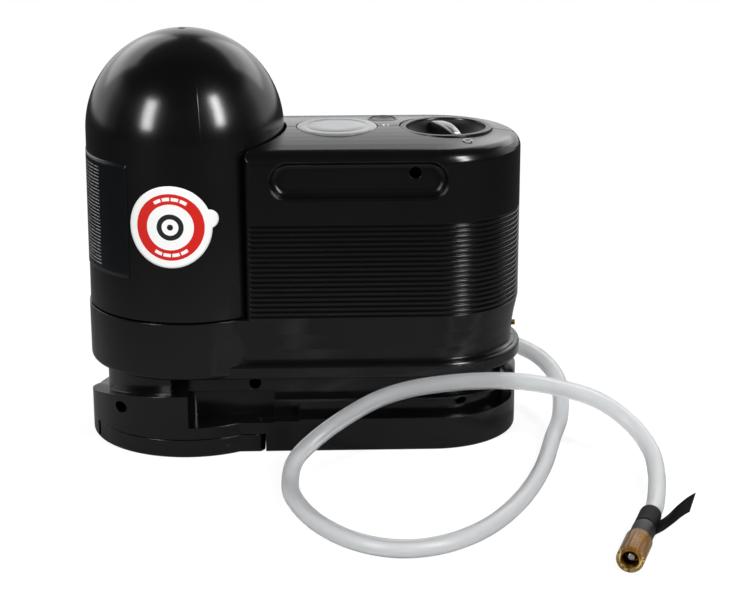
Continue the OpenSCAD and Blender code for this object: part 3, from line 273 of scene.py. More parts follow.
def plastic(name, colour, rough=0.42, grain=3e-5, pitch=1400.0, specular=0.5, scuff=0.5,
            lines=None, edge=0.0, coat=0.0):
    """Moulded plastic: fine grain in the bump, uneven gloss, faint dust in the colour, and
    edges that shine as if rounded by the radius edge. lines, if given, takes the signals x, y
    and z and returns 1 where shade is painted: dark lines of painted shade, as in a groove or
    hollow."""
    made, paint = material(name)
    where, x, y, z = paint.place()
    fine = paint.noise(where, pitch, 3.0, 0.6)
    broad = paint.noise(where, 38.0, 4.0, 0.6)
    streak = paint.noise(where, 210.0, 3.0, 0.7, stretch=(1, 1, 6))
    dust = paint.ramp(streak * 0.5 + broad * 0.5, (0.52, 0.0), (0.74, 1.0))
    base = paint.blend(dust * 0.35 * scuff, rgb(colour), rgb(colour, 2.4))
    gloss = rough - 0.05 + broad * 0.08 + dust * 0.10 * scuff
    height = fine
    if lines:
        # Painted shade: the colour is darkened to 0.15 of itself along the lines given, with a
        # rougher gloss and a sunk step in the bump.
        painted_shade_mask = lines(x, y, z)
        base = paint.blend(painted_shade_mask, base, rgb(colour, 0.15))
        height = fine * 0.25 - painted_shade_mask * 4.0
        gloss = gloss + painted_shade_mask * 0.3
    rounded = paint.add("ShaderNodeBevel", {"samples": 4}, {"Radius": edge}) if edge else None
    paint.end({
        "Base Color": base,
        "Roughness": gloss,
        "Specular IOR Level": specular,
        "Coat Weight": coat,
        "Coat Roughness": rough / 2,
        "Normal": paint.bump(height, grain, 0.8, rounded),
    })
    return made


def metal(name, colour, rough=0.3, brushed=(1, 1, 1), scale=600.0, tarnish=0.5):
    """Bare metal: fine tool marks drawn out along one direction, and patches of tarnish."""
    made, paint = material(name)
    where = paint.place()[0]
    marks = paint.noise(where, scale, 3.0, 0.6, stretch=brushed)
    patches = paint.ramp(paint.noise(where, 120.0, 4.0, 0.65), (0.42, 0.0), (0.7, 1.0))
    base = paint.blend(patches * tarnish, rgb(colour), rgb(colour, 0.55))
    paint.end({
        "Base Color": base,
        "Metallic": 1.0,
        "Roughness": rough + marks * 0.12 + patches * 0.12 * tarnish,
        "Normal": paint.bump(marks, 2e-5, 0.5),
    })
    return made


def rubber(name, colour, rough=0.7):
    """Matt rubber or sleeved tube, with bloom and a pebbled surface."""
    made, paint = material(name)
    where = paint.place()[0]
    pebbles = paint.noise(where, 900.0, 2.0, 0.5)
    bloom = paint.ramp(paint.noise(where, 70.0, 4.0, 0.6), (0.45, 0.0), (0.75, 1.0))
    paint.end({
        "Base Color": paint.blend(bloom * 0.4, rgb(colour), rgb(colour, 1.9)),
        "Roughness": rough + bloom * 0.12,
        "Normal": paint.bump(pebbles, 4e-5, 0.7),
    })
    return made


def clear(name, colour, rough=0.2, cloud=0.5, through=0.6, ior=1.45):
    """Clear soft plastic: part of the light goes through, with cloudy patches in it."""
    made, paint = material(name)
    where = paint.place()[0]
    mist = paint.ramp(paint.noise(where, 90.0, 4.0, 0.6), (0.35, 0.0), (0.75, 1.0))
    grain = paint.noise(where, 500.0, 2.0, 0.5)
    paint.end({
        "Base Color": paint.blend(mist * cloud, rgb(colour), rgb(colour, 0.88)),
        "Roughness": rough + mist * 0.05,
        "Transmission Weight": through,
        "IOR": ior,
        "Normal": paint.bump(grain, 2e-5, 0.4),
    })
    return made


# ---- surfaces ----

# Points nearer than this, in metres, are one
MERGE = 2e-6


def grid_faces(rows, cols):
    """Quads of a grid of rows x cols points, numbered row by row."""
    corner = (np.arange(rows - 1)[:, None] * cols + np.arange(cols - 1)[None, :]).ravel()
    return np.stack([corner, corner + 1, corner + cols + 1, corner + cols], axis=1)


def settle(work, mesh, merge=0.0, closed=True):
    """Writes a bmesh to a mesh: doubles merged, a closed form's faces turned outwards."""
    if merge:
        bmesh.ops.remove_doubles(work, verts=work.verts, dist=merge)
        bmesh.ops.dissolve_degenerate(work, edges=work.edges, dist=merge / 2)
    if closed:
        bmesh.ops.recalc_face_normals(work, faces=work.faces)
    work.to_mesh(mesh)
    work.free()
    return mesh


def faced_mesh(name, points, faces, merge=0.0, closed=True, uvs=None):
    """Mesh of points in millimetres and of quads, settled."""
    mesh = bpy.data.meshes.new(name)
    mesh.from_pydata((points * MM).tolist(), [], faces.tolist())
    if uvs is not None:
        layer = mesh.uv_layers.new(name="sheet")
        layer.data.foreach_set("uv", uvs.reshape(-1, 2)[faces.ravel()].ravel())
    work = bmesh.new()
    work.from_mesh(mesh)
    return settle(work, mesh, merge, closed)


def make_mesh(name, grids, closed=True, uvs=None):
    """Mesh of point grids (rows, cols, 3); merging the doubles closes seams and poles."""
    points, faces, start = [], [], 0
    for grid in grids:
        rows, cols = grid.shape[:2]
        points.append(grid.reshape(-1, 3))
        faces.append(grid_faces(rows, cols) + start)
        start += rows * cols
    return faced_mesh(name, np.concatenate(points), np.concatenate(faces), MERGE, closed, uvs)


def piece(name, shape, body, finish, replaced=(), sharp=35.0):
    """Object of a mesh, or of a list of grids of a closed form, riding on a body. It is smooth
    but for edges sharper than the angle."""
    mesh = make_mesh(name, shape) if isinstance(shape, list) else shape
    mesh.shade_smooth()
    mesh.set_sharp_from_angle(angle=math.radians(sharp))
    mesh.materials.append(finish)
    made = bpy.data.objects.new(name, mesh)
    bpy.context.scene.collection.objects.link(made)
    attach(made, body)
    if replaced:
        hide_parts(*replaced)
    return made


def solidify(made, thickness, offset=-1.0):
    """Gives an open sheet its thickness, in millimetres."""
    wall = made.modifiers.new("Thickness", "SOLIDIFY")
    wall.thickness = thickness * MM
    wall.offset = offset
    wall.use_even_offset = True


def round_corner(x, y, r, start, end, n=6):
    """Arc of n + 1 points: x + r cos a, y + r sin a, with a from start to end degrees."""
    a = np.radians(np.linspace(start, end, n + 1))
    return np.stack([x + r * np.cos(a), y + r * np.sin(a)], axis=1)


def turned(profile, angles=97, ripple=None):
    """A half profile (r, h) turned about +Z: (r cos t, r sin t, h), at the angles given or at
    a number of even steps. ripple(t, h) is added to every radius that isn't on the axis."""
    profile = np.asarray(profile, dtype=float)
    if isinstance(angles, int):
        angles = np.linspace(0, TAU, angles)
    r = profile[:, 0][:, None]
    h = np.broadcast_to(profile[:, 1][:, None], (len(profile), len(angles)))
    t = np.broadcast_to(angles[None, :], h.shape)
    if ripple is not None:
        r = r + ripple(t, h) * (r > 1e-6)
    return np.stack([r * np.cos(t), r * np.sin(t), h], axis=2)


def along_fitting(grid):
    """Points of a form turned about +Z, laid with +Z along the hose's last stretch."""
    side, up, out = (grid[..., i, None] for i in range(3))
    return HOSE_END + out * FIT_OUT + side * FIT_SIDE + up * np.array([0.0, 0.0, 1.0])


def moved(grid, x=0.0, y=0.0, z=0.0, turn=0.0):
    """Points turned about +Z by an angle in degrees and then shifted."""
    c, s = math.cos(math.radians(turn)), math.sin(math.radians(turn))
    px, py = grid[..., 0] * c - grid[..., 1] * s, grid[..., 0] * s + grid[..., 1] * c
    return np.stack([px + x, py + y, grid[..., 2] + z], axis=-1)


def smooth_route(points, steps):
    """Catmull-Rom curve through the points: in each span, with t from 0 to 1,
    (2b + (c - a) t + (2a - 5b + 4c - d) t^2 + (3b - a - 3c + d) t^3) / 2."""
    p = np.vstack([2 * points[0] - points[1], points, 2 * points[-1] - points[-2]])
    a, b, c, d = (p[i:len(p) - 3 + i][:, None, :] for i in range(4))
    t = (np.arange(steps) / steps)[None, :, None]
    curve = (2 * b + (c - a) * t + (2 * a - 5 * b + 4 * c - d) * t**2
             + (3 * b - a - 3 * c + d) * t**3) / 2
    return np.vstack([curve.reshape(-1, 3), points[-1]])


def ring_about(path, radius, sides):
    """Circles of one radius square to a path: p + r (cos t side + sin t up), side being level."""
    tangent = np.gradient(path, axis=0)
    tangent[0], tangent[-1] = path[1] - path[0], path[-1] - path[-2]
    tangent /= np.linalg.norm(tangent, axis=1)[:, None]
    side = np.cross(tangent, [0.0, 0.0, 1.0])
    side /= np.linalg.norm(side, axis=1)[:, None]
    up = np.cross(side, tangent)
    t = np.linspace(0, TAU, sides + 1)[None, :, None]
    return path[:, None, :] + radius * (np.cos(t) * side[:, None, :] + np.sin(t) * up[:, None, :])


def crown_height(y):
    """Height of the housing's crowned top at a distance y from its middle plane."""
    return TOP_Z - CROWN_R + np.sqrt(CROWN_R**2 - y**2)


def cover_radius(z):
    """Outer radius of the cover's tapered wall at height z."""
    return CAN_R0 - CAN_DRAFT * (z - COVER_LOW[2]) / (DOME_Z - COVER_LOW[2])


def on_cover(arc, z, out):
    """Points on the cover's wall: arc is the distance round it from the -Y side, towards +X."""
    r = cover_radius(z) + out
    a = arc / CAN_R - math.pi / 2
    return np.stack([CAN_X + r * np.cos(a), r * np.sin(a), z], axis=-1)


# ---- stage ----

CAMERA_PLACE = (0.00276, -0.9955, 0.3764)
CAMERA_YAW, CAMERA_DIP, CAMERA_ROLL = -1.933, 17.292, -0.069
LENS, SENSOR = 96.16, 36.0
SKY_MIRRORED, SKY_THROUGH, SKY_DIFFUSE = 1.12, 0.92, 0.32
FLOOR_HALF, FLOOR_DROP = 6000.0, 0.05
LAMP_AIM = np.array([0.0, 0.0, 0.12])
# Each lamp's name, azimuth and height angle, distance, width and height, and power
LAMPS = (
    ("lamp_left", -43, 23, 1.25, (0.24, 0.66), 10.0),
    ("lamp_right", 43, 28, 1.25, (0.20, 0.72), 12.5),
    ("lamp_rear_left", -142, 34, 1.4, (1.0, 0.8), 4.0),
    ("lamp_rear_right", 146, 34, 1.4, (1.0, 0.8), 4.0),
)


def studio_world():
    """White to the camera; in reflections white low down behind and beside the object, and dim
    above and in front of it. Diffuse light comes evenly from all round."""
    world = bpy.data.worlds.new("studio")
    bpy.context.scene.world = world
    world.use_nodes = True
    paint = Paint(world.node_tree)
    ahead, up = paint.split(paint.add("ShaderNodeTexCoord", output="Generated"), 1, 2)
    behind = paint.ramp(ahead * 0.5 + 0.5, (0.40, 0.035), (0.56, 0.30), (0.66, 1.0))
    behind = behind * paint.ramp(up, (0.47, 1.0), (0.60, 0.05))
    mirrored = paint.ray("Glossy") * behind * SKY_MIRRORED
    through = paint.ray("Transmission") * SKY_THROUGH
    diffuse = paint.ray("Diffuse") * SKY_DIFFUSE
    light = paint.ray("Camera") + mirrored.either(through).either(diffuse)
    sky = paint.add("ShaderNodeBackground", inputs={0: light, "Strength": 1.0})
    paint.add("ShaderNodeOutputWorld", inputs={"Surface": sky})


def floor_material():
    """Paper sheet, pale near the object and greyer further off, where its glow makes up the
    difference, so that it is white to the camera apart from the object's shadow."""
    made, paint = material("floor_paper")
    where, x, y, _ = paint.place()
    fibre = paint.noise(where, 300.0, 3.0, 0.6)
    near = paint.ramp((x * x + y * y) ** 0.5, (0.20, 1.0), (0.50, 0.20))
    seen = paint.ray("Camera").either(paint.ray("Transmission"))
    paint.end({
        "Base Color": near * (0.25 + fibre * 0.02),
        "Roughness": 0.9,
        "Specular IOR Level": 0.0,
        "Emission Color": seen * (1.01 - near * 0.19) + paint.ray("Glossy") * 0.01,
        "Emission Strength": 1.0,
    })
    return made


def soft_lamp(name, azimuth, height, distance, size, power):
    """Area lamp at an azimuth and height angle about the object's middle, turned to face it."""
    a, h = math.radians(azimuth), math.radians(height)
    away = np.array([math.sin(a) * math.cos(h), -math.cos(a) * math.cos(h), math.sin(h)])
    lamp = bpy.data.lights.new(name, "AREA")
    lamp.shape = "RECTANGLE"
    lamp.size, lamp.size_y = size
    lamp.energy = power
    made = bpy.data.objects.new(name, lamp)
    bpy.context.scene.collection.objects.link(made)
    turn = Matrix.Rotation(a, 4, "Z") @ Matrix.Rotation(math.pi / 2 - h, 4, "X")
    made.matrix_world = Matrix.Translation((LAMP_AIM + away * distance).tolist()) @ turn


def place_camera(scene):
    """Camera at its place, turned by its yaw, dip and roll in degrees."""
    lens = bpy.data.cameras.new("camera")
    lens.lens = LENS
    lens.sensor_width = SENSOR
    lens.clip_end = 50.0
    camera = bpy.data.objects.new("camera", lens)
    scene.collection.objects.link(camera)
    camera.matrix_world = (
        Matrix.Translation(CAMERA_PLACE)
        @ Matrix.Rotation(math.radians(CAMERA_YAW), 4, "Z")
        @ Matrix.Rotation(math.radians(90 - CAMERA_DIP), 4, "X")
        @ Matrix.Rotation(math.radians(CAMERA_ROLL), 4, "Z")
    )
    scene.camera = camera


def lay_floor(scene):
    """Paper sheet just under the object, which is no part of it."""
    x, y = np.meshgrid(*[np.linspace(-FLOOR_HALF, FLOOR_HALF, 3)] * 2)
    flat = np.stack([x, y, 0 * x - FLOOR_DROP], axis=-1)
    mesh = make_mesh("floor", [flat], closed=False)
    mesh.materials.append(floor_material())
    floor = bpy.data.objects.new("floor", mesh)
    scene.collection.objects.link(floor)


class INFLATOR_OT_studio(bpy.types.Operator):
    """Camera, lamps, world and floor"""
    bl_idname = "inflator.studio"
    bl_label = "Studio"

    def execute(self, context):
        place_camera(context.scene)
        context.scene.view_settings.view_transform = "Standard"
        studio_world()
        for lamp in LAMPS:
            soft_lamp(*lamp)
        lay_floor(context.scene)
        return {"FINISHED"}


# ---- hose and its connector ----

# Radii of the fitting's pieces, and their places along it from the hose's end
STEM_R, STEM_END = 2.4, 27.0
COLLAR_R, COLLAR_START, COLLAR_END = 5.45, 5.9, 19.05
NUT_R, NUT_BORE_R, NUT_START, NUT_END = 5.2, 2.5, 15.4, 40.6
THREAD_R, THREAD_START, THREAD_END = 3.72, 33.0, 39.6
CAP_R, CAP_START, CAP_END = 6.3, 19.05, 41.0
PIN_R, PIN_HEAD_R, PIN_END = 0.9, 1.7, 37.6

# The strap's place along the fitting, its turns round the hose from one end to the other,
# its distance from the hose at both, and its tail: the way it goes, its bend, its upright half
STRAP_START, STRAP_WIDTH = -11.0, 16.5
STRAP_TURNS, STRAP_LIFT = (-372, -22), (0.40, 1.05)
TAIL_WAY, TAIL_BEND, TAIL_HALF = [14.6, 12.6, -4.0], [0, 0.5, 0], [0.8, 3.7, -2.6]
TAIL_TWIST = 0.55


def fit_point(s):
    """Point on the line of the hose's last stretch, s millimetres past its end."""
    return HOSE_END + s * FIT_OUT


# Height of the hose's middle where it lies on the floor
LIE_Z = 4.35
HOSE_ROUTE = np.array([
    [80.4, 42.2, 33], [85.4, 42.2, 33], [90.4, 42.2, 33], [103, 34, 32.5], [114, 25, 32],
    [124, 12, 30], [131, -1, 25], [133, -11, 18.5], [131.5, -24, 9], [126, -41, 4.6],
    [116, -82, LIE_Z], [102, -120, LIE_Z], [84, -151, LIE_Z], [63, -170, LIE_Z],
    [41, -175, LIE_Z], [20.5, -165, LIE_Z], [4.4, -144, LIE_Z], [-5.8, -117, LIE_Z],
    [-8, -96, 5], [-5, -77, 9], [7, -65, 16.6], [23, -58, 25.4], [37, -54, 31.5],
    [51, -52, 35.3], [67, -51.5, 37.8], [85, -51.5, 39.2], [106, -51.5, 38.8],
    [126.5, -52, 35.4], [147, -55, 29.2], [162, -64, 20], [169.5, -79, 12], [169.5, -98, 7.5],
    [166.5, -117, 6.5], fit_point(-22), fit_point(-11), HOSE_END,
])


def strap_sheet():
    """Ribbon mid-surface in the fitting's own frame (side, up, along): about one turn round
    the hose, then a tail that rises and twists until its width stands upright."""
    v = np.linspace(0, 1, 13)[None, :]
    turn = np.radians(np.linspace(*STRAP_TURNS, 64))[:, None]
    r = HOSE_R + np.linspace(*STRAP_LIFT, 64)[:, None]
    wrap = np.stack(np.broadcast_arrays(
        r * np.cos(turn), r * np.sin(turn), STRAP_START + STRAP_WIDTH * v), axis=-1)
    u = np.linspace(0, 1, 22)[1:, None, None]
    twist = np.clip(u / TAIL_TWIST, 0, 1)
    twist = twist * twist * (3 - 2 * twist)
    line = np.array(TAIL_WAY) * u - np.array(TAIL_BEND) * np.sin(TAU * u)
    half = (1 - twist) * np.array([0, 0, -STRAP_WIDTH / 2]) + twist * np.array(TAIL_HALF)
    tail = wrap[-1].mean(axis=0) + line + (1 - 2 * v[..., None]) * half
    return np.concatenate([wrap, tail], axis=0)


class INFLATOR_OT_hose(bpy.types.Operator):
    """Clear hose with its strap, sleeve, valve nut and cap"""
    bl_idname = "inflator.hose"
    bl_label = "Hose and connector"

    def execute(self, context):
        tone = colours()
        path = smooth_route(HOSE_ROUTE, 8)
        outer, inner = ring_about(path, HOSE_R, 40), ring_about(path, HOSE_BORE_R, 40)
        hose = piece(
            "clear_hose", [np.concatenate([outer, inner[::-1], outer[:1]], axis=0)], "housing",
            clear("hose_clear_finish", tone.hose, rough=0.30, cloud=0.12, through=0.80, ior=1.38),
            ["sealant_hose"], sharp=60,
        )
        strap = piece(
            "strap_ribbon", make_mesh("strap_ribbon", [along_fitting(strap_sheet())], closed=False),
            "housing", plastic("strap_finish", tone.strap, 0.60, 3e-5, 900.0, 0.12, 0.2),
            ["hose_strap"], sharp=50,
        )
        solidify(strap, sizes().strap_t / MM, 0.0)
        ferrule, nut, cap, pin = self.ferrule(tone), self.nut(tone), self.cap(tone), self.pin()
        return {"FINISHED"}

    @staticmethod
    def ferrule(tone):
        """Sleeve on the hose's end: its collar over the nut's rear, its stem inside the nut."""
        edge, back = 0.45, NUT_START - 0.2
        profile = np.vstack([
            [[0, 0.05], [3.4, 0.05]], round_corner(HOSE_R - 0.5, 0.65, 0.6, -90, 0),
            [[HOSE_R + 0.1, COLLAR_START]],
            round_corner(COLLAR_R - edge, COLLAR_START + 0.8, edge, -60, 0, 4),
            round_corner(COLLAR_R - edge, COLLAR_END - edge, edge, 0, 90, 4),
            [[COLLAR_R - 0.5, COLLAR_END - 0.15], [COLLAR_R - 0.5, back], [STEM_R, back]],
            [[STEM_R, STEM_END], [0, STEM_END]],
        ])
        finish = plastic("ferrule_finish", tone.ferrule, 0.42, 2e-5, 1200.0, 0.18, 0.2)
        return piece("hose_sleeve", [along_fitting(turned(profile))], "housing", finish,
                     ["hose_ferrule"])

    @staticmethod
    def nut(tone):
        """Brass nut: its wall fluted by 0.14 cos(n t), and a thread of nine turns in its bore,
        cut as a zigzag 0.13 deep."""
        zigzag = np.abs((np.linspace(0, 9, 37) % 1) * 2 - 1)
        thread = np.stack([
            THREAD_R + 0.13 * zigzag, np.linspace(THREAD_END, THREAD_START, 37)], axis=1)
        edge, recess_r, seat = 0.3, 3.25, 30.0
        profile = np.vstack([
            [[NUT_BORE_R, NUT_START], [NUT_R - 0.7, NUT_START]],
            round_corner(NUT_R - 0.5, NUT_START + 0.5, 0.5, -90, 0, 3),
            round_corner(NUT_R - 0.6, NUT_END - 1.7, 0.6, 0, 60, 3),
            [[NUT_R - 0.65, NUT_END - 0.4]],
            round_corner(NUT_R - 0.9, NUT_END - edge, edge, 0, 90, 3),
            round_corner(NUT_R - 1.05, NUT_END - edge, edge, 90, 180, 3), thread,
            [[recess_r, THREAD_START], [recess_r, seat], [NUT_BORE_R, seat]],
            [[NUT_BORE_R, NUT_START]],
        ])
        wall = (profile[:, 0] > NUT_R - 0.01)[:, None]
        flutes = sizes().flutes
        grid = turned(profile, 12 * flutes + 1, lambda t, h: 0.14 * np.cos(flutes * t) * wall)
        finish = metal("nut_brass_finish", tone.brass, 0.28, (1, 1, 1), 700.0, 0.35)
        return piece("fluted_nut", [along_fitting(grid)], "nut", finish, ["valve_nut"])

    @staticmethod
    def cap(tone):
        """Clear sleeve with rounded ends round the nut."""
        wall = CAP_R - NUT_R
        end = CAP_START + wall / 2
        profile = np.vstack([
            round_corner(NUT_R + wall / 2, end, wall / 2, 180, 360, 8),
            round_corner(NUT_R, CAP_END - wall, wall, 0, 90, 8),
            [[4.5, CAP_END], [4.3, CAP_END - 0.2], [5.0, CAP_END - 1.4], [5.22, CAP_END - 2.1]],
            [[NUT_R, end + 0.1], [NUT_R, end]],
        ])
        finish = clear("nut_cap_finish", tone.sleeve, 0.12, 0.1, 0.97, 1.16)
        return piece("nut_sleeve", [along_fitting(turned(profile))], "nut", finish,
                     ["nut_cap"])

    @staticmethod
    def pin():
        """Steel pin with a domed head inside the nut."""
        profile = np.vstack([
            [[0, STEM_END], [PIN_R, STEM_END], [PIN_R, PIN_END - 2.2], [PIN_HEAD_R, PIN_END - 1.8]],
            round_corner(PIN_HEAD_R - 0.5, PIN_END - 0.6, 0.5, 0, 90), [[0, PIN_END]],
        ])
        finish = metal("pin_steel_finish", (0.72, 0.72, 0.74), 0.2, (1, 1, 1), 900.0, 0.2)
        return piece("core_pin", [along_fitting(turned(profile, 33))], "housing", finish,
                     ["valve_pin"])


# ---- canister ----

# The mould seams' angles round the canister and their half width
SEAM_TURNS, SEAM_HALF = (-78.5, 101.5), 0.3
# The sticker's height over the cover's foot, its angle and radius, and its tab
STICKER_RISE, STICKER_TURN, STICKER_R = 49.2, -6.4, 20.6
TAB_PLACE, TAB_R = (19.1, 3.7), 4.7
# Bars in the red ring: half width in millimetres; reach, step and gap as angles
BAR_HALF, BAR_REACH, BAR_STEP, BAR_GAP = 0.85, 0.62, 0.31, 0.055
MARK_RING, MARK_DOT = (4.1, 6.6), 1.5
LABEL_TURNS, LABEL_LINES = (-100.9, -31.9), 34.0
FILM_T, FILM_TOP = 0.26, 0.30


def sticker_finish(tone):
    """Satin print, x and y in millimetres from its middle: a red ring with white bars in it, and
    a dark ring and dot."""
    made, paint = material("sticker_finish")
    x, y = paint.sheet()
    away = (x * x + y * y) ** 0.5
    inner, outer = sizes().ring_inner / MM, sizes().ring_outer / MM
    band = abs(away - (inner + outer) / 2) < BAR_HALF
    turn = x.angle(abs(y))
    bars = band * (abs(turn) < BAR_REACH) * (turn.repeat(BAR_STEP) > BAR_GAP)
    mark = away.between(*MARK_RING).either(away < MARK_DOT)
    noise = paint.noise(paint.place()[0], 260.0, 3.0, 0.6)
    white = paint.blend(noise * 0.5, rgb(tone.white), rgb(tone.white, 0.93))
    ink = paint.blend(noise * 0.4, rgb(tone.red), rgb(tone.red, 0.82))
    base = paint.blend(away.between(inner, outer) * (1 - bars), white, ink)
    base = paint.blend(mark, base, (0.016, 0.016, 0.018))
    paint.end({
        "Base Color": base, "Roughness": 0.48 + noise * 0.08, "Specular IOR Level": 0.15,
        "Normal": paint.bump(noise, 3e-5, 0.4),
    })
    return made


def label_finish():
    """Glossy black print: lines of small grey dashes in one column."""
    made, paint = material("label_finish")
    a, h = paint.sheet()
    row = h * LABEL_LINES
    line = row.repeat(1.0).between(0.30, 0.62)
    cell = {0: a * 120.0, 1: row.floor() * 7.3}
    words = paint.noise(paint.add("ShaderNodeCombineXYZ", inputs=cell), 1.0, 1.0, 0.5) > 0.44
    column = a.between(0.22, 0.66) * h.between(0.05, 0.93)
    smudge = paint.noise(paint.place()[0], 60.0, 4.0, 0.6)
    base = paint.blend(line * words * column, (0.0036, 0.0042, 0.0052), (0.30, 0.30, 0.30))
    paint.end({
        "Base Color": base, "Roughness": 0.16 + smudge * 0.12, "Specular IOR Level": 0.3,
        "Normal": paint.bump(smudge, 1e-4, 0.25),
    })
    return made


def film(name, sheet, uvs, finish, node):
    """Thin film on the canister: an open sheet turned to face away from the canister's axis."""
    mesh = make_mesh(name, [sheet], closed=False, uvs=uvs)
    face = mesh.polygons[len(mesh.polygons) // 2]
    outward = np.array([face.center[0] - CAN_X * MM, face.center[1], 0.0])
    if np.dot(outward, face.normal) < 0:
        mesh.flip_normals()
    solidify(piece(name, mesh, "canister", finish, [node], sharp=60), FILM_T)


class INFLATOR_OT_canister(bpy.types.Operator):
    """Canister cover with its mould seams, round sticker and side label"""
    bl_idname = "inflator.canister"
    bl_label = "Canister"

    def execute(self, context):
        self.cover(colours())
        self.sticker(colours())
        self.label()
        return {"FINISHED"}

    @staticmethod
    def cover(tone):
        """Tapered wall and dome turned about the canister's axis, with a raised seam where the
        two halves of the mould met: r + s exp(-(d / w)^2), d the distance from the seam. The
        dome's top has a small sunk mark."""
        z0, peak = COVER_LOW[2], DOME_Z + CAN_R
        seams = np.radians(SEAM_TURNS)
        beside = np.array([0.15, 0.3, 0.45, 0.7, 1.2]) / CAN_R
        near = np.concatenate([-beside[::-1], [0], beside])
        even = np.linspace(-math.pi, math.pi, 181)
        gap = np.min(np.abs(even[:, None] - seams[None, :]), axis=1)
        angles = np.sort(np.concatenate([even[gap > 1.5 / CAN_R], (seams[:, None] + near).ravel()]))
        wall_z = np.linspace(z0 + 0.5, DOME_Z, 12)
        outer = np.vstack([
            [[CAN_R0 - 0.5, z0]],
            np.stack([cover_radius(wall_z), wall_z], axis=1),
            round_corner(0, DOME_Z, CAN_R, 0, 86, 56)[1:],
            [[2.3, peak - 0.08], [2.0, peak - 0.3], [0, peak - 0.32]],
        ])
        inner = np.vstack([
            round_corner(0, DOME_Z, CAN_R - CAN_WALL, 90, 0, 24),
            [[CAN_R0 - CAN_WALL, z0], [CAN_R0 - 0.5, z0]],
        ])
        profile = np.vstack([outer, inner])
        height = sizes().seam / MM

        def ripple(t, h):
            arc = np.abs(t[:, :, None] - seams[None, None, :]).min(axis=2) * CAN_R
            row = np.arange(len(profile))[:, None]
            return height * np.exp(-(arc / SEAM_HALF) ** 2) * (row > 1) * (row < len(outer) - 4)

        finish = plastic("canister_cover_finish", tone.cover, 0.21, 1.2e-5, 1800.0, 0.50, 0.3)
        piece("cover_dome", [moved(turned(profile, angles, ripple), x=CAN_X)], "canister", finish,
              ["canister_cover"], sharp=40)

    @staticmethod
    def sticker(tone):
        """Disc of radius R with a tab: rings of the outline k (cos t, sin t), k from 0 to R(t),
        laid on the cover. R is the further of the disc's edge and the tab's."""
        reach, lean = np.hypot(*TAB_PLACE), math.atan2(*TAB_PLACE[::-1])
        t = np.unique(np.concatenate([
            np.linspace(-math.pi, math.pi, 121), lean + np.radians(np.linspace(-15, 15, 61))]))
        ahead = reach * np.cos(t - lean)
        inside = TAB_R**2 - (reach * np.sin(t - lean)) ** 2
        edge = ahead + np.sqrt(np.maximum(inside, 0))
        outline = np.where((inside > 0) & (ahead > 0), np.maximum(edge, STICKER_R), STICKER_R)
        k = np.linspace(0, 1, 22)[:, None]
        across, up = k * outline * np.cos(t), k * outline * np.sin(t)
        sheet = on_cover(across + math.radians(STICKER_TURN) * CAN_R,
                         COVER_LOW[2] + STICKER_RISE + up, FILM_TOP)
        uvs = np.stack([across, up], axis=-1)
        film("speed_sticker", sheet, uvs, sticker_finish(tone), "round_sticker")

    @staticmethod
    def label():
        """Label on the cover's side: a rectangle of arc by height."""
        low, high = np.radians(LABEL_TURNS) * CAN_R
        z0, z1 = (corner[2] for corner in box_mm("side_label"))
        u, v = np.meshgrid(np.linspace(0, 1, 61), np.linspace(0, 1, 25))
        sheet = on_cover(low + (high - low) * u, z0 + (z1 - z0) * v, FILM_TOP)
        uvs = np.stack([u, v], axis=-1)
        film("panel_label", sheet, uvs, label_finish(), "side_label")


# ---- gauge ----

# The dial's first angle and its sweep, its steps and how many go to a number
DIAL_START, DIAL_SWEEP, DIAL_STEPS, PER_NUMBER = 225.0, 270.0, 40, 5
MARK_END_R, NUMBER_R, NUMBER_SIZE = 17.6, 11.6, 4.0
LENS_T, LENS_GROOVE = 2.3, 5.4


def lens_finish(tone):
    """Hazy clear plastic, which hides more at a slant."""
    made, paint = material("gauge_lens_finish")
    haze = paint.ramp(paint.noise(paint.place()[0], 130.0, 4.0, 0.6), (0.3, 0.0), (0.8, 1.0))
    slant = paint.add("ShaderNodeFresnel", inputs={"IOR": 1.5})
    paint.end({
        "Base Color": paint.blend(haze, rgb(tone.lens), rgb(tone.lens, 0.92)),
        "Roughness": 0.16 + haze * 0.1,
        "Alpha": (0.22 + haze * 0.08 + slant * 2.4).both(0.94),
        "Normal": paint.bump(haze, 8e-5, 0.3),
    })
    return made


def flat_boxes(x, y, turn, half_l, half_w, z0, z1):
    """Points and quads of flat boxes about the centres x, y, turned by turn radians: corners
    half_l along and half_w across from the centre, at z0 and z1."""
    corner = np.array([[i, j, k] for i in (-1, 1) for j in (-1, 1) for k in (z0, z1)])
    c, s = np.cos(turn)[:, None], np.sin(turn)[:, None]
    along, across = corner[:, 0] * half_l[:, None], corner[:, 1] * half_w[:, None]
    points = np.stack(np.broadcast_arrays(
        x[:, None] + along * c - across * s, y[:, None] + along * s + across * c, corner[:, 2],
    ), axis=-1).reshape(-1, 3)
    quads = np.array([
        [0, 1, 3, 2], [4, 6, 7, 5], [0, 4, 5, 1], [2, 3, 7, 6], [0, 2, 6, 4], [1, 5, 7, 3]])
    return points, (np.arange(len(x))[:, None, None] * 8 + quads).reshape(-1, 4)


def number_mesh(name, labels, size, thick):
    """One mesh of short numbers: labels holds (text, x, y, z) in millimetres."""
    work = bmesh.new()
    for text, x, y, z in labels:
        curve = bpy.data.curves.new(name, "FONT")
        curve.body = text
        curve.size, curve.extrude = size * MM, thick * MM
        curve.align_x, curve.align_y = "CENTER", "CENTER"
        holder = bpy.data.objects.new(name, curve)
        flat = bpy.data.meshes.new_from_object(holder)
        flat.transform(Matrix.Translation((x * MM, y * MM, z * MM)))
        work.from_mesh(flat)
        bpy.data.objects.remove(holder)
        bpy.data.curves.remove(curve)
        bpy.data.meshes.remove(flat)
    bmesh.ops.remove_doubles(work, verts=work.verts, dist=MERGE / 20)
    return settle(work, bpy.data.meshes.new(name))


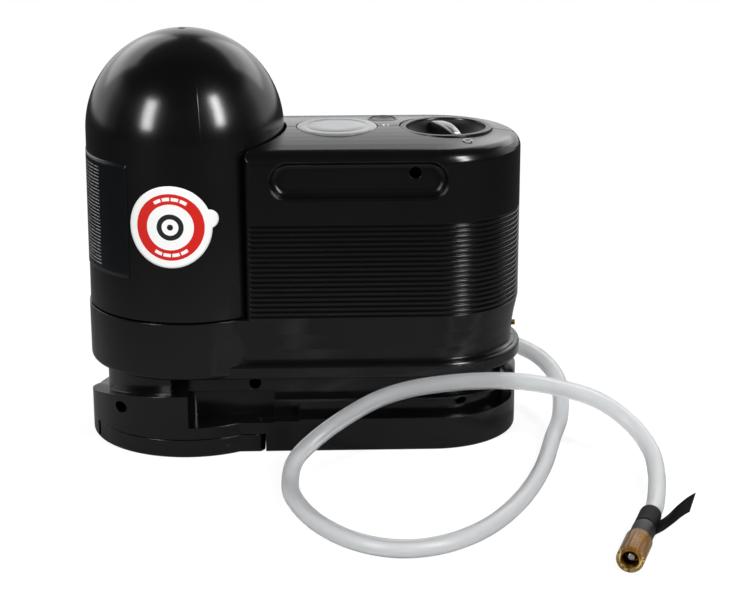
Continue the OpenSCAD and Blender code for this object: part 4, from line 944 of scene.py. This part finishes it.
class INFLATOR_OT_gauge(bpy.types.Operator):
    """Pressure gauge: lens and dial print"""
    bl_idname = "inflator.gauge"
    bl_label = "Gauge"

    def execute(self, context):
        self.lens(colours())
        self.dial_print()
        return {"FINISHED"}

    @staticmethod
    def lens(tone):
        """Flat lens with a rounded rim and a fine groove round its top."""
        r, base, _ = round_size("gauge_lens")
        top, groove = base + LENS_T, r - LENS_GROOVE
        profile = np.vstack([
            [[0, base], [r - 0.2, base], [r, base + 0.2]],
            round_corner(r - 0.5, top - 0.7, 0.5, 0, 78, 4),
            [[r - 2.0, top - 0.08], [r - 2.6, top - 0.04]],
            [[groove + 0.4, top - 0.02], [groove, top - 0.18], [groove - 0.4, top - 0.02]],
            [[8.0, top], [0, top]],
        ])
        piece("lens_disc", [moved(turned(profile), x=GAUGE_X)], "housing", lens_finish(tone),
              ["gauge_lens"])

    @staticmethod
    def dial_print():
        """Scale round the dial: even marks, every fifth longer and wider, with its number."""
        z = round_size("gauge_dial")[2]
        step = np.arange(DIAL_STEPS + 1)
        turn = np.radians(DIAL_START - DIAL_SWEEP * step / DIAL_STEPS)
        major = step % PER_NUMBER == 0
        half_l, half_w = np.where(major, 1.5, 0.85), np.where(major, 0.28, 0.16)
        reach = MARK_END_R - half_l
        x, y = GAUGE_X + reach * np.cos(turn), reach * np.sin(turn)
        boxes = flat_boxes(x, y, turn, half_l, half_w, z - 0.02, z + 0.06)
        ink = plastic("dial_ink", (0.014, 0.014, 0.016), 0.5, 1e-5, 1500.0, 0.3, 0.2)
        piece("dial_marks", faced_mesh("dial_marks", *boxes), "housing", ink)
        labels = [(str(i), GAUGE_X + NUMBER_R * math.cos(a), NUMBER_R * math.sin(a), z + 0.02)
                  for i, a in enumerate(turn[major])]
        numbers = number_mesh("dial_numbers", labels, NUMBER_SIZE, 0.04)
        piece("dial_numbers", numbers, "housing", ink)


# ---- controls ----

# The knob's rim under the top, its lip's width, its bore and the depth of its bowl
KNOB_SINK, KNOB_LIP, KNOB_BORE_R, BOWL_DEPTH = 0.5, 3.2, 3.2, 8.2
KNOB_RIM = TOP_Z - KNOB_SINK
KNOB_BED = KNOB_RIM - BOWL_DEPTH
# The grip's half length, where its sides would meet, its rise and the radius of its top
GRIP_REACH, GRIP_MEET, GRIP_RISE, GRIP_TOP_R = 19.9, 21.0, 0.9, 62.0
GRIP_TURN = -72.0
DOT_PLACE, DOT_R = 14.9, 1.55
# Printed rings: inner and outer radius, x, y. Printed bars: half width, half length, x, y
PRINT_RINGS = ((1.6, 2.5, 81.4, -28.0), (0.9, 1.5, 74.4, 27.0))
PRINT_BARS = ((0.45, 1.9, 40.9, 1.0), (0.4, 1.3, 43.2, 1.0))
INK_TOP, INK_FOOT = 0.03, -0.05


def grip_top(s):
    """Height of the knob grip's top edge at a distance s from the knob's axis."""
    return TOP_Z + GRIP_RISE - s**2 / (2 * GRIP_TOP_R)


def ink_section(a, b):
    """Cross-section of a print that reaches from a to b."""
    return np.array([[a, INK_FOOT], [a, INK_TOP], [b, INK_TOP], [b, INK_FOOT], [a, INK_FOOT]])


class INFLATOR_OT_controls(bpy.types.Operator):
    """Mode knob, power button and the marks printed beside them"""
    bl_idname = "inflator.controls"
    bl_label = "Knob, button and marks"

    def execute(self, context):
        tone = colours()
        self.dish(tone)
        self.grip(tone)
        self.mark(tone)
        self.button()
        self.collar()
        self.prints(tone)
        return {"FINISHED"}

    @staticmethod
    def dish(tone):
        """Dished knob turned about its axis; its bowl is nearly a quarter ellipse."""
        r, z0, _ = round_size("mode_knob")
        foot, rim, bed = z0 + 0.3, KNOB_RIM, KNOB_BED
        t = np.radians(np.linspace(0, 90, 25))
        bowl = np.stack([
            (r - KNOB_LIP) * np.cos(t), rim - 0.2 - BOWL_DEPTH * np.sin(t) ** 0.9], axis=1)
        profile = np.vstack([
            [[KNOB_BORE_R, foot], [r - 6, foot], [r, foot + 5]],
            round_corner(r - 0.5, rim - 0.5, 0.5, 0, 90, 4), [[r - 2.4, rim]],
            round_corner(r - 2.7, rim - 0.45, 0.45, 90, 170, 4), bowl[1:-1],
            [[0, bed - 0.2], [0, bed - 1.4], [KNOB_BORE_R, bed - 1.4], [KNOB_BORE_R, foot]],
        ])
        # Painted shade: below the rim the bowl's colour is darkened, with a rougher gloss and a
        # sunk step.
        satin_and_bowl_shade = plastic("knob_finish", tone.knob, 0.28, 2e-5, 1500.0, 0.42, 0.3,
                        lambda x, y, z: z < (rim - 0.9) * MM)
        piece("knob_dish", [moved(turned(profile, 145), x=KNOB_X)], "knob", satin_and_bowl_shade,
              ["mode_knob"])

    @staticmethod
    def grip(tone):
        """Grip across the knob: half width w sqrt(1 - (s / L)^2) at a distance s from the axis,
        its top an arc, its corners rounded and its ends closed."""
        half = sizes().grip_t / MM / 2
        s = np.sin(np.linspace(-math.pi / 2, math.pi / 2, 49))[:, None] * GRIP_REACH
        wide = half * np.sqrt(1 - (s / GRIP_MEET) ** 2) + 0.15
        top = grip_top(s)
        hollow = np.sqrt(np.maximum(0, 1 - (s / (GRIP_REACH + 0.3)) ** 2))
        under = KNOB_RIM - 0.4 - BOWL_DEPTH * hollow
        foot = np.maximum(KNOB_BED - 0.4, np.minimum(top - 0.05, under) - 0.8)
        flank = np.array([
            [-1.10, 0], [-1.04, 0.5], [-1.0, 0.86], [-0.93, 0.96], [-0.78, 1.0], [-0.4, 1.01]])
        section = np.vstack([flank, [[0, 1.015]], flank[::-1] * [-1, 1], flank[:1]])
        body = np.stack(np.broadcast_arrays(
            s, wide * section[:, 0], foot + (top - foot) * section[:, 1]), axis=-1)
        ends = [body[i].mean(axis=0)[None, None, :].repeat(len(section), axis=1) for i in (0, -1)]
        body = np.concatenate([ends[0], body, ends[1]], axis=0)
        gloss = plastic("grip_finish", tone.knob, 0.24, 2e-5, 1500.0, 0.8, 0.3, coat=0.8)
        piece("knob_grip", [moved(body, x=KNOB_X, turn=GRIP_TURN)], "knob", gloss, sharp=50)

    @staticmethod
    def mark(tone):
        """White dot on the grip's top, near its end."""
        z = grip_top(DOT_PLACE)
        profile = [[0, z - 1.2], [DOT_R, z - 1.2], [DOT_R, z + 0.05], [DOT_R - 0.2, z + 0.18]]
        dot = moved(turned([*profile, [0, z + 0.22]], 33), x=DOT_PLACE)
        white = plastic("mark_white_finish", tone.white, 0.5, 2e-5, 900.0, 0.4, 0.3)
        piece("knob_mark", [moved(dot, x=KNOB_X, turn=GRIP_TURN)], "knob", white,
              ["knob_dot"])

    @staticmethod
    def button():
        """Round button with a dished top and a pocket for its spring."""
        r, foot, top = round_size("power_button")
        stem, pocket, deck, skirt = 1.75, 3.7, top - 1.7, top - 4.0
        profile = np.vstack([
            [[stem, foot], [stem, deck], [pocket, deck], [pocket, skirt], [r - 0.2, skirt]],
            [[r, skirt + 0.2]], round_corner(r - 0.6, top - 0.6, 0.6, 0, 90),
            [[r - 1.6, top], [r - 2.2, top - 0.18], [2.0, top - 0.42], [0, top - 0.45]],
            [[0, foot], [stem, foot]],
        ])
        finish = plastic("button_finish", (0.012, 0.012, 0.013), 0.34, 2e-5, 1500.0, 0.55, 0.4)
        head = moved(turned(profile, 73), x=BUTTON_X, y=BUTTON_Y)
        piece("push_button", [head], "power_button", finish, ["power_button"])

    @staticmethod
    def collar():
        """Raised ring round the button."""
        r, foot, top = round_size("button_ring")
        inner = r - 1.05
        profile = np.vstack([
            [[inner, foot], [r, foot]], round_corner(r - 0.4, top - 0.1, 0.4, 0, 90, 4),
            round_corner(inner + 0.35, top - 0.05, 0.35, 90, 180, 4), [[inner, foot]],
        ])
        finish = plastic(
            "button_ring_finish", (0.020, 0.020, 0.021), 0.30, 2e-5, 1500.0, 0.6, 0.4)
        collar = moved(turned(profile, 73), x=BUTTON_X, y=BUTTON_Y)
        piece("button_collar", [collar], "housing", finish, ["button_ring"])

    @staticmethod
    def prints(tone):
        """Marks printed on the crowned top: grey rings, and white bars with closed ends."""
        grey, white = (plastic(name, rgb(tone.white, gain), 0.5, 2e-5, 900.0, 0.3, 0.3)
                       for name, gain in (("print_grey", 0.42), ("print_white", 0.9)))

        def laid(grid, x, y):
            flat = moved(grid, x=x, y=y)
            flat[..., 2] += crown_height(flat[..., 1])
            return flat

        rings = [laid(turned(ink_section(a, b), 49), x, y) for a, b, x, y in PRINT_RINGS]
        piece("print_rings", rings, "housing", grey)
        loop = ink_section(-1, 1)
        shrink = np.array([0, 1, 1, 1, 1, 1, 0])[:, None]
        bars = []
        for half_w, half_l, x, y in PRINT_BARS:
            v = np.array([-1, -1, -0.5, 0, 0.5, 1, 1])[:, None] * half_l
            bars.append(laid(np.stack(np.broadcast_arrays(
                half_w * loop[:, 0] * shrink, v, loop[:, 1] * shrink), axis=-1), x, y))
        piece("print_bars", bars, "housing", white)


# ---- finishes of the CAD nodes ----

PARTING_HALF, PARTING_FOOT, PARTING_END = 0.0006, 0.047, -0.0591
EVEN, ALONG_X, ALONG_Z = (1, 1, 1), (0.1, 1, 1), (1, 1, 0.1)
STEEL, ALLOY = (0.55, 0.55, 0.57), (0.45, 0.46, 0.48)


def parting_line(x, y, z):
    """The line where the two housing halves meet, on the top and down the round end: painted shade
    of a groove, dark in the colour.
    """
    return (abs(y) < PARTING_HALF) * (z > PARTING_FOOT).both(x > PARTING_END)


def node_finishes():
    """Slot of each CAD node that stays, with its finish: the kind, its colour and values."""
    tone = colours()
    values = {
        # The shell's parting line is painted dark: painted shade of its groove.
        "shell": (plastic, tone.shell, 0.20, 4e-5, 1500.0, 0.46, 0.3, parting_line, 0.0006),
        "screw_steel": (metal, (0.10, 0.10, 0.105), 0.42, EVEN, 700.0, 0.5),
        "inner_plastic": (plastic, (0.012, 0.012, 0.013), 0.5),
        "dial_white": (plastic, (0.72, 0.73, 0.73), 0.5, 1e-5, 900.0, 0.3, 0.1),
        "works_brass": (metal, (0.55, 0.38, 0.15), 0.35),
        "needle_red": (plastic, (0.5, 0.02, 0.02), 0.4, 1e-5, 900.0, 0.5, 0.2),
        "spindle_steel": (metal, STEEL, 0.3, ALONG_Z),
        "valve_plastic": (plastic, (0.10, 0.11, 0.13), 0.5),
        "spring_steel": (metal, STEEL, 0.25),
        "relief_brass": (metal, tone.brass, 0.27, ALONG_X, 700.0, 0.4),
        "grommet": (rubber, (0.010, 0.010, 0.010)),
        "cast_frame": (metal, (0.40, 0.41, 0.42), 0.5, EVEN, 300.0, 0.6),
        "motor_steel": (metal, (0.42, 0.43, 0.45), 0.34, ALONG_X, 500.0, 0.3),
        "magnet": (plastic, (0.022, 0.022, 0.024), 0.6),
        "rotor": (metal, (0.45, 0.18, 0.07), 0.4, EVEN, 500.0, 0.5),
        "shaft_steel": (metal, (0.60, 0.60, 0.62), 0.18, ALONG_X),
        "fan_plastic": (plastic, (0.035, 0.045, 0.055), 0.5),
        "gear_plastic": (plastic, (0.62, 0.55, 0.38), 0.5, 3e-5, 1400.0, 0.4),
        "rod_alloy": (metal, ALLOY, 0.42, EVEN, 400.0, 0.4),
        "piston_alloy": (metal, (0.55, 0.56, 0.58), 0.3, ALONG_Z),
        "seal_rubber": (rubber, (0.010, 0.010, 0.011)),
        "cylinder_alloy": (metal, ALLOY, 0.5, EVEN, 300.0, 0.5),
        "tube_black": (rubber, (0.012, 0.012, 0.013)),
        "tube_copper": (metal, (0.62, 0.30, 0.14), 0.3, EVEN, 500.0, 0.5),
        "tube_clear": (clear, (0.8, 0.82, 0.8), 0.3),
        "manifold_plastic": (plastic, (0.03, 0.033, 0.038), 0.5),
        "canister_base": (plastic, (0.022, 0.022, 0.025), 0.45),
        "bottle_white": (plastic, (0.72, 0.71, 0.66), 0.4, 3e-5, 1400.0, 0.4),
        "gland": (rubber, (0.012, 0.012, 0.012), 0.55),
    }
    return {slot: kind(slot + "_finish", *rest) for slot, (kind, *rest) in values.items()}


class INFLATOR_OT_casing(bpy.types.Operator):
    """Finishes of the housing and of the working parts inside it"""
    bl_idname = "inflator.casing"
    bl_label = "Housing and works"

    def execute(self, context):
        finishes = node_finishes()
        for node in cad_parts.values():
            for holder in node.material_slots:
                slot = holder.material.name.split(".")[0]
                if slot in finishes:
                    holder.material = finishes[slot]
        return {"FINISHED"}


# ---- panel and registration ----

OPERATORS = (
    INFLATOR_OT_studio, INFLATOR_OT_hose, INFLATOR_OT_casing,
    INFLATOR_OT_canister, INFLATOR_OT_gauge, INFLATOR_OT_controls,
)


class INFLATOR_PT_builder(bpy.types.Panel):
    """Lists the building steps, colours and sizes"""
    bl_idname = "INFLATOR_PT_builder"
    bl_label = "Inflator"
    bl_space_type = "VIEW_3D"
    bl_region_type = "UI"
    bl_category = "Inflator"

    def draw(self, context):
        layout = self.layout
        for operator in OPERATORS:
            layout.operator(operator.bl_idname)
        for settings in (context.scene.inflator_colours, context.scene.inflator_sizes):
            box = layout.box()
            for name in settings.__annotations__:
                box.prop(settings, name)


CLASSES = (InflatorColours, InflatorSizes, *OPERATORS, INFLATOR_PT_builder)


def register():
    for made in CLASSES:
        bpy.utils.register_class(made)
    bpy.types.Scene.inflator_colours = PointerProperty(type=InflatorColours)
    bpy.types.Scene.inflator_sizes = PointerProperty(type=InflatorSizes)


def unregister():
    del bpy.types.Scene.inflator_sizes
    del bpy.types.Scene.inflator_colours
    for made in reversed(CLASSES):
        bpy.utils.unregister_class(made)


def main():
    register()
    bpy.ops.inflator.studio()
    bpy.ops.inflator.hose()
    bpy.ops.inflator.casing()
    bpy.ops.inflator.canister()
    bpy.ops.inflator.gauge()
    bpy.ops.inflator.controls()


if __name__ == "__main__":
    main()
